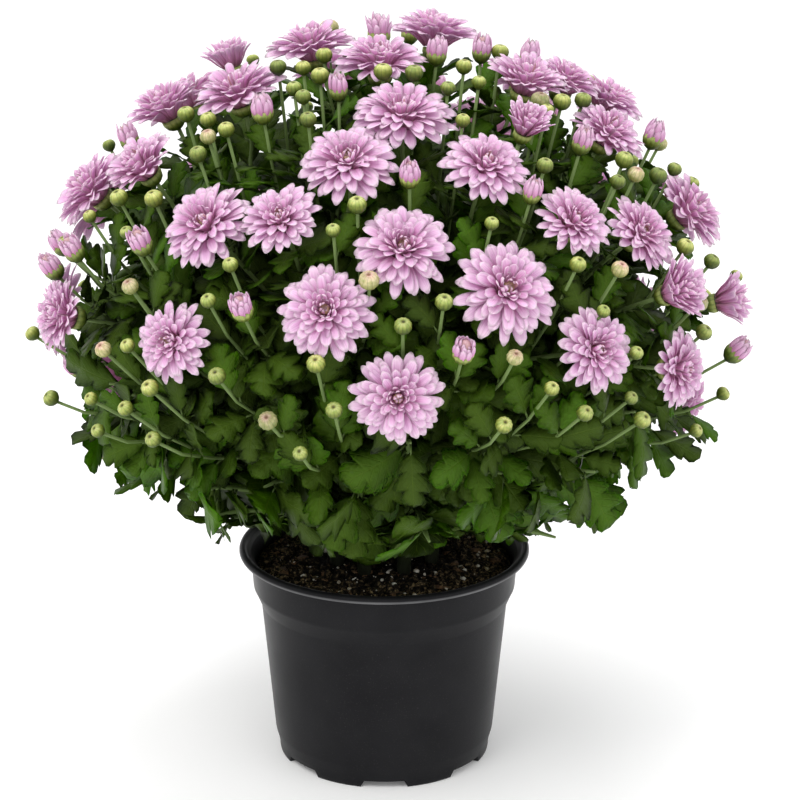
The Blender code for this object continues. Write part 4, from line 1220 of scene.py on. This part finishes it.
def set_low_leaves(plant):
    """The lowest leaves, each at the end of a thin stalk from the nearest main stem. A leaf that has no room
    is tried again a little higher."""
    rng = plant.rng
    for across, down, reach, hang in LOW_LEAVES:
        for attempt in range(LEAF_TRIES):
            found = low_leaf(plant, across + rng.uniform(-2, 2), down - 1 - attempt,
                             reach * rng.uniform(0.90, 1.02), hang)
            if found:
                sector, root = found
                start = along_path(plant.paths[sector], rng.uniform(0.22, 0.34))[0]
                bend = start.lerp(root, 0.5) + Vector((0, 0, 0.010))
                stalk = [bezier(start, bend, bend, root, t / 6) for t in range(7)]
                tube(plant.green[sector], stalk, [STALK_RADIUS * 0.6] * 7, 5, rng.random(), along=(0.2, 0.7))
                break


def shoot_paths(sector, paths, rng):
    """Leafy shoots without flowers, from low on a main stem."""
    shoots = []
    for count, reach, rise in SHOOTS:
        for i in range(count):
            turn = (i + rng.uniform(0.2, 0.8)) / count - 0.5
            angle = stem_angle(sector) + turn * 2 * math.pi / SECTORS
            side = Vector((math.cos(angle), math.sin(angle), 0))
            spot = paths[sector][1 + i % 2].lerp(paths[sector][2 + i % 2], 0.4)
            tip = side * rng.uniform(*reach) + Vector((0, 0, rng.uniform(*rise)))
            bend = spot + side * 0.02 + Vector((0, 0, 0.03))
            shoots.append([bezier(spot, bend, tip - side * 0.03, tip, t / 7) for t in range(8)])
    return shoots


def bud_list(blooms):
    """Buds: the place, the width where it is half open, and how far a green one has faded. Behind, every
    fourth is half open, and every seventh has faded where it isn't."""
    seen = []
    for x, y, width in SEEN_HALF_OPEN:
        point = seen_on_dome(x, y, BUD_DOME)
        seen.append((point, 0, 1.0) if (x, y) in PALE_BUDS else (point, real_width(point, width), 0.0))
    seen += [(seen_on_dome(x, y, BUD_DOME), 0, 0.0) for x, y in SEEN_BUDS]
    seen += [(seen_on_dome(x, y, BUD_DOME), 0, 1.0) for x, y in FADED_BUDS]
    rng = random.Random(SEED + 1)
    taken = [seat for _, _, _, seat, _ in blooms] + [point for point, _, _ in seen]
    hidden = back_places(BACK_HALF_OPEN + BACK_BUDS, taken, LOWEST_BUD, BUD_DOME)
    for i, point in enumerate(hidden):
        width = rng.uniform(0.012, 0.017) if i % 4 == 1 else 0
        seen.append((point, width, 1.0 if i % 7 == 3 else 0.0))
    return seen


def packed_blooms_tree(blooms):
    """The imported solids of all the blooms, to find what crosses them."""
    corners = []
    faces = []
    for node, *_ in blooms:
        mesh = frame["nodes"][node].data
        faces += [tuple(index + len(corners) for index in p.vertices) for p in mesh.polygons]
        corners += [v.co.copy() for v in mesh.vertices]
    return BVHTree.FromPolygons(corners, faces)


class Plant:
    """The greenery as it grows: the green and the pink shell of each leafy stem, and what is set so far."""

    def __init__(self, blooms):
        self.rng = random.Random(SEED + 2)
        self.blooms = blooms
        self.tree = packed_blooms_tree(blooms)
        self.paths = [main_stem_path(sector, STEM_POINTS) for sector in range(SECTORS + 1)]
        self.spots = Spots(self.paths)
        self.green = [Shell() for _ in self.paths]
        self.pink = [Shell() for _ in self.paths]
        self.leaves = Leaves(self.tree)
        self.stalks = []

    def add_stalk(self, seat, axis, point):
        """A stalk up to a flower's seat. It gives the number of the stem that bears it."""
        sector, path = self.spots.path_to(seat, axis, point, self.tree)
        self.stalks.append((sector, path))
        return sector


def draw_main_stems(plant):
    for sector, shell in enumerate(plant.green):
        path = main_stem_path(sector, DRAWN_STEM_POINTS)
        radii = [STEM_RADIUS + (STEM_TIP_RADIUS - STEM_RADIUS) * max(0, i - 1) / (len(path) - 2)
                 for i in range(len(path))]
        tube(shell, path, radii, STEM_SIDES, 0.5, along=(0.0, 0.5))


def set_cups(plant):
    """A stalk to each open bloom, with a green cup under its petals."""
    rng = plant.rng
    for _, width, _, seat, axis in plant.blooms:
        low = seat - axis * (CALYX_HEIGHT + CLEARANCE)
        sector = plant.add_stalk(low, axis, seat)
        place = facing(low, axis, rng.uniform(0, 6))
        # Painted shade: the cup's tone is kept low, so that it is darker under the bloom
        green_cup(plant.green[sector], place, calyx_radius(width), CALYX_HEIGHT, rng.random() * 0.25)


def set_buds(plant):
    """A stalk to each bud, more upright than the dome's normal, with the half open or the green bud on it."""
    rng = plant.rng
    for point, width, faded in bud_list(plant.blooms):
        axis = (outward(point) + Vector((0, 0, BUD_LIFT))).normalized()
        height = BUNDLE_LENGTH + width * 0.3 if width else BUD_RADIUS * 1.6
        seat = point - axis * height / 2
        sector = plant.add_stalk(seat, axis, point)
        matrix = facing(seat, axis, rng.uniform(0, 6))
        if width:
            half_open_bud(plant.green[sector], plant.pink[sector], matrix, width, height, rng)
        else:
            radius = BUD_RADIUS * rng.uniform(0.72, 1.00) * (1 + 0.14 * faded)
            green_bud(plant.green[sector], matrix, radius, rng.random(), faded)


def draw_stalks(plant):
    for number, (sector, path) in enumerate(plant.stalks):
        thin = 1.0 if number < len(plant.blooms) else BUD_STALK_SHARE
        radii = [STALK_RADIUS * (0.90 - 0.10 * i / (STALK_POINTS - 1)) * thin for i in range(STALK_POINTS)]
        tube(plant.green[sector], path, radii, STALK_SIDES, plant.rng.random(), along=(0.35, 1.0))


def set_stem_leaves(plant):
    for sector, path in enumerate(plant.paths):
        leaves_along(plant, sector, path, *STEM_LEAVES)


def set_shoots(plant):
    rng = plant.rng
    radii = [STALK_RADIUS] * 7 + [STALK_RADIUS * 0.5]
    for sector in range(SECTORS):
        for path in shoot_paths(sector, plant.paths, rng):
            tube(plant.green[sector], path, radii, STALK_SIDES, rng.random(), along=(0.2, 0.9))
            leaves_along(plant, sector, path, *SHOOT_LEAVES)


def set_stalk_leaves(plant):
    """Leaves on every flower's stalk in turn, from its foot up, smaller towards the flower."""
    rng = plant.rng
    for level in range(LEAVES_PER_STALK):
        for sector, path in plant.stalks:
            for _ in range(LEAF_TRIES):
                share = 0.12 + 0.80 * (level + rng.random()) / LEAVES_PER_STALK
                size = (0.82 - 0.34 * share) * rng.uniform(0.80, 1.05)
                turn = rng.uniform(0, 2 * math.pi)
                droop = rng.uniform(0.05, 0.4)
                if set_leaf(plant, sector, path, share, turn, LEAF_LENGTH * size, droop, 0.0):
                    break


def make_greenery(blooms, finishes, petal_finish):
    """Main stems, stalks with cups and buds, shoots and leaves: one piece for each leafy stem, and one for
    the pink of its half open buds."""
    plant = Plant(blooms)
    draw_main_stems(plant)
    set_cups(plant)
    set_buds(plant)
    draw_stalks(plant)
    set_low_leaves(plant)
    set_stem_leaves(plant)
    set_shoots(plant)
    set_stalk_leaves(plant)
    for sector, (green, pink) in enumerate(zip(plant.green, plant.pink)):
        piece = green.piece(f"greenery_{sector + 1}", finishes)
        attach(piece, "root")
        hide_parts(f"leafy_stem_{sector + 1}")
        if pink.size:
            piece = pink.piece(f"half_open_petals_{sector + 1}", [petal_finish])
            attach(piece, "root")


# Pot
def notch_lift(angle):
    """How far the foot's lower edge is cut up at this angle: 1 in a notch, 0 between notches."""
    off = abs(math.remainder(angle + math.pi / 2, 2 * math.pi / NOTCHES)) * FOOT_RADIUS
    return min(1.0, max(0.0, (NOTCH_WIDTH / 2 - off) / NOTCH_SLOPE))


def pot_rings():
    """The pot's profile from the middle of its underside round the lip to the middle of its floor."""
    foot_inside = FOOT_RADIUS - FOOT_WIDTH
    wall_top, wall_low = WALL_RADII
    collar_top, collar_low = COLLAR_RADII
    lip_low = POT_HEIGHT - LIP_HEIGHT
    foot = (
        (foot_inside - 0.0100, FOOT_HEIGHT), (foot_inside - 0.0006, FOOT_HEIGHT),
        (foot_inside, FOOT_HEIGHT - 0.0006), (foot_inside, 0.0006), (foot_inside + 0.0006, 0.0),
        (FOOT_RADIUS - 0.0010, 0.0), (FOOT_RADIUS - 0.0003, 0.0006), (FOOT_RADIUS, 0.0020),
        (FOOT_RADIUS + 0.0001, 0.0044),
    )
    wall = (
        (wall_low - 0.0014, WALL_BOTTOM - 0.0050), (wall_low - 0.0002, WALL_BOTTOM - 0.0008),
        (wall_low + 0.0002, WALL_BOTTOM + 0.0012), ((wall_top + wall_low) / 2, (WALL_TOP + WALL_BOTTOM) / 2),
        (wall_top - 0.0001, WALL_TOP - 0.0012), (wall_top + 0.0003, WALL_TOP),
    )
    collar = (
        (collar_low - 0.0006, COLLAR_BOTTOM - 0.0010), (collar_low - 0.0001, COLLAR_BOTTOM),
        (collar_low + 0.0001, COLLAR_BOTTOM + 0.0012), (collar_top - 0.0001, lip_low - 0.0024),
        (collar_top + 0.0003, lip_low - 0.0010), (collar_top + 0.0012, lip_low - 0.0003),
    )
    lip = (
        (RIM_RADIUS - 0.0016, lip_low), (RIM_RADIUS - 0.0005, lip_low + 0.0004),
        (RIM_RADIUS, lip_low + 0.0014), (RIM_RADIUS, POT_HEIGHT - 0.0018),
        (RIM_RADIUS - 0.0005, POT_HEIGHT - 0.0007), (RIM_RADIUS - 0.0016, POT_HEIGHT),
        (RIM_INNER_RADIUS + 0.0014, POT_HEIGHT),
        (RIM_INNER_RADIUS + 0.0004, POT_HEIGHT - 0.0006), (RIM_INNER_RADIUS - 0.0004, POT_HEIGHT - 0.0022),
    )
    inside = (
        (collar_top - WALL_THICKNESS, lip_low - 0.0014),
        (collar_low - WALL_THICKNESS, COLLAR_BOTTOM + STEP_RISE),
        (wall_top - WALL_THICKNESS, WALL_TOP + STEP_RISE), (INNER_FOOT_RADIUS, FLOOR_TOP),
    )
    return foot + wall + collar + lip + inside


def pot_shell():
    rings = pot_rings()
    points = [(0.0, 0.0, FOOT_HEIGHT)]
    for radius, height in rings:
        for k in range(POT_SIDES):
            angle = 2 * math.pi * k / POT_SIDES
            z = height
            if height < NOTCH_HEIGHT:
                z += (NOTCH_HEIGHT - height) * notch_lift(angle)
            points.append((radius * math.cos(angle), radius * math.sin(angle), z))
    points.append((0.0, 0.0, FLOOR_TOP))
    shell = Shell()
    shell.add(points, skin_faces(len(rings), POT_SIDES), np.zeros((len(points), 4)))
    return shell


def cut_drains(piece):
    """Round holes through the pot's floor, one between each two notches."""
    holes = bpy.data.collections.new("drain_holes")
    bpy.context.scene.collection.children.link(holes)
    for i in range(NOTCHES):
        work = bmesh.new()
        bmesh.ops.create_cone(work, cap_ends=True, segments=24, radius1=DRAIN_RADIUS, radius2=DRAIN_RADIUS,
                              depth=0.04)
        mesh = bpy.data.meshes.new("drain")
        work.to_mesh(mesh)
        work.free()
        angle = -math.pi / 2 + (i + 0.5) * 2 * math.pi / NOTCHES
        place = (DRAIN_CIRCLE * math.cos(angle), DRAIN_CIRCLE * math.sin(angle), 0.01)
        mesh.transform(Matrix.Translation(place))
        holes.objects.link(bpy.data.objects.new("drain", mesh))
    cut = piece.modifiers.new("drains", "BOOLEAN")
    cut.operation = "DIFFERENCE"
    cut.solver = "EXACT"
    cut.operand_type = "COLLECTION"
    cut.collection = holes
    bpy.context.view_layer.update()
    graph = bpy.context.evaluated_depsgraph_get()
    piece.data = bpy.data.meshes.new_from_object(piece.evaluated_get(graph))
    piece.modifiers.clear()
    for hole in list(holes.objects):
        bpy.data.objects.remove(hole)
    bpy.data.collections.remove(holes)


def make_pot(finish):
    piece = pot_shell().piece("nursery_pot", [finish])
    cut_drains(piece)
    piece.data.set_sharp_from_angle(angle=math.radians(42))
    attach(piece, "root")
    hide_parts("pot")


# Soil
def soil_height(x, y):
    """Crumbly peat: a low mound with lumps."""
    r = math.hypot(x, y) / RIM_INNER_RADIUS
    lumps = math.sin(310 * x + 1.3) * math.cos(270 * y - 0.6) + 0.6 * math.sin(520 * (x + y) + 2.0)
    return SOIL_LEVEL + SOIL_MOUND * (1 - r * r) + 0.0007 * lumps


def soil_points(sides, rng):
    """The plug's points: its plain sides, then a lumpy top in rings that close in on the middle."""
    points = [(0.0, 0.0, FLOOR_TOP + CLEARANCE)]
    for radius, height in sides:
        points += circle(SOIL_SIDES, radius, height)
    for i in range(SOIL_TOP_RINGS):
        radius = SOIL_EDGE * (1 - (i / SOIL_TOP_RINGS) * 0.97)
        for x, y, _ in circle(SOIL_SIDES, radius, 0.0):
            points.append((x, y, soil_height(x, y) + rng.uniform(-0.0007, 0.0007)))
    points.append((0.0, 0.0, soil_height(0, 0)))
    return points


def make_soil(finishes):
    """The plug with loose crumbs, perlite and bark pressed into its top."""
    rng = random.Random(SEED + 5)
    sides = (
        (INNER_FOOT_RADIUS - SOIL_GAP, FLOOR_TOP + CLEARANCE),
        (WALL_RADII[0] - WALL_THICKNESS - SOIL_GAP, WALL_TOP + STEP_RISE),
        (SOIL_EDGE, COLLAR_BOTTOM + STEP_RISE),
    )
    points = soil_points(sides, rng)
    shell = Shell()
    shell.add(points, skin_faces(len(sides) + SOIL_TOP_RINGS, SOIL_SIDES), np.zeros((len(points), 4)))
    for count, sizes, slot, flat in LOOSE_BITS:
        scatter(shell, rng, count, sizes, slot, flat)
    piece = shell.piece("soil_surface", finishes)
    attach(piece, "root")
    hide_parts("soil")


def scatter(shell, rng, count, sizes, slot, flat):
    """Small uneven lumps half sunk into the soil."""
    work = bmesh.new()
    bmesh.ops.create_icosphere(work, subdivisions=1, radius=1.0)
    base = np.array([v.co for v in work.verts])
    faces = [tuple(v.index for v in f.verts) for f in work.faces]
    work.free()
    for _ in range(count):
        radius = (SOIL_EDGE - 0.0030) * math.sqrt(rng.random())
        angle = rng.uniform(0, 2 * math.pi)
        x, y = radius * math.cos(angle), radius * math.sin(angle)
        size = sizes[0] + (sizes[1] - sizes[0]) * rng.random() ** 3
        uneven = 1 + 0.35 * (np.array([rng.random() for _ in base]) - 0.5)
        spread = np.array((rng.uniform(0.7, 1.1), rng.uniform(0.6, 1.0), rng.uniform(0.6, 1.0) * flat))
        turn = Matrix.Rotation(rng.uniform(0, 6), 4, "Z") @ Matrix.Rotation(rng.uniform(-0.4, 0.4), 4, "X")
        place = Matrix.Translation((x, y, soil_height(x, y) + 0.0003)) @ turn
        points = placed_points(place, base * uneven[:, None] * spread * size)
        shell.add(points, faces, np.zeros((len(points), 4)), slot)


# Camera, light and table
def make_camera():
    data = bpy.data.cameras.new("camera")
    data.sensor_width = SENSOR
    data.lens = EYE_SCALE / PICTURE * SENSOR
    data.shift_x = (PICTURE / 2 - EYE_CENTRE[0]) / PICTURE
    data.clip_end = 20.0
    camera = object_of("camera", data)
    camera.location = EYE
    camera.rotation_euler = (math.pi / 2 - EYE_PITCH, 0, 0)
    bpy.context.scene.camera = camera


def area_light(name, place, target, size, power, colour):
    data = bpy.data.lights.new(name, "AREA")
    data.shape = "DISK"
    data.size = size
    data.energy = power
    data.color = colour
    light = object_of(name, data)
    light.location = place
    light.rotation_euler = (Vector(target) - Vector(place)).to_track_quat("-Z", "Y").to_euler()


def make_studio():
    work = bmesh.new()
    bmesh.ops.create_grid(work, x_segments=1, y_segments=1, size=6.0)
    mesh = bpy.data.meshes.new("table_top")
    work.to_mesh(mesh)
    work.free()
    mesh.materials.append(floor_material())
    table = object_of("table_top", mesh)
    world = bpy.data.worlds.new("studio")
    world.use_nodes = True
    background = world.node_tree.nodes["Background"]
    background.inputs["Color"].default_value = (1.0, 1.0, 1.0, 1.0)
    background.inputs["Strength"].default_value = 1.0
    bpy.context.scene.world = world
    bpy.context.scene.view_settings.view_transform = "Standard"
    area_light("key", (-0.9, -1.3, 2.0), (0, 0, 0.25), 1.2, 22.0, (1.0, 0.99, 0.97))
    area_light("fill", (1.6, -0.9, 1.0), (0, 0, 0.2), 1.4, 4.0, (0.97, 0.98, 1.0))
    area_light("top", (0.1, 0.4, 2.2), (0, 0, 0.3), 1.2, 12.0, (1.0, 1.0, 1.0))


make_camera()
make_studio()
pink = petal_material()
bloom_places = bloom_list()
make_blooms(bloom_places, [pink, centre_material()])
make_greenery(bloom_places, [leaf_material(), stalk_material(), bud_material()], pink)
make_pot(pot_material())
make_soil([soil_material(), perlite_material(), bark_material()])
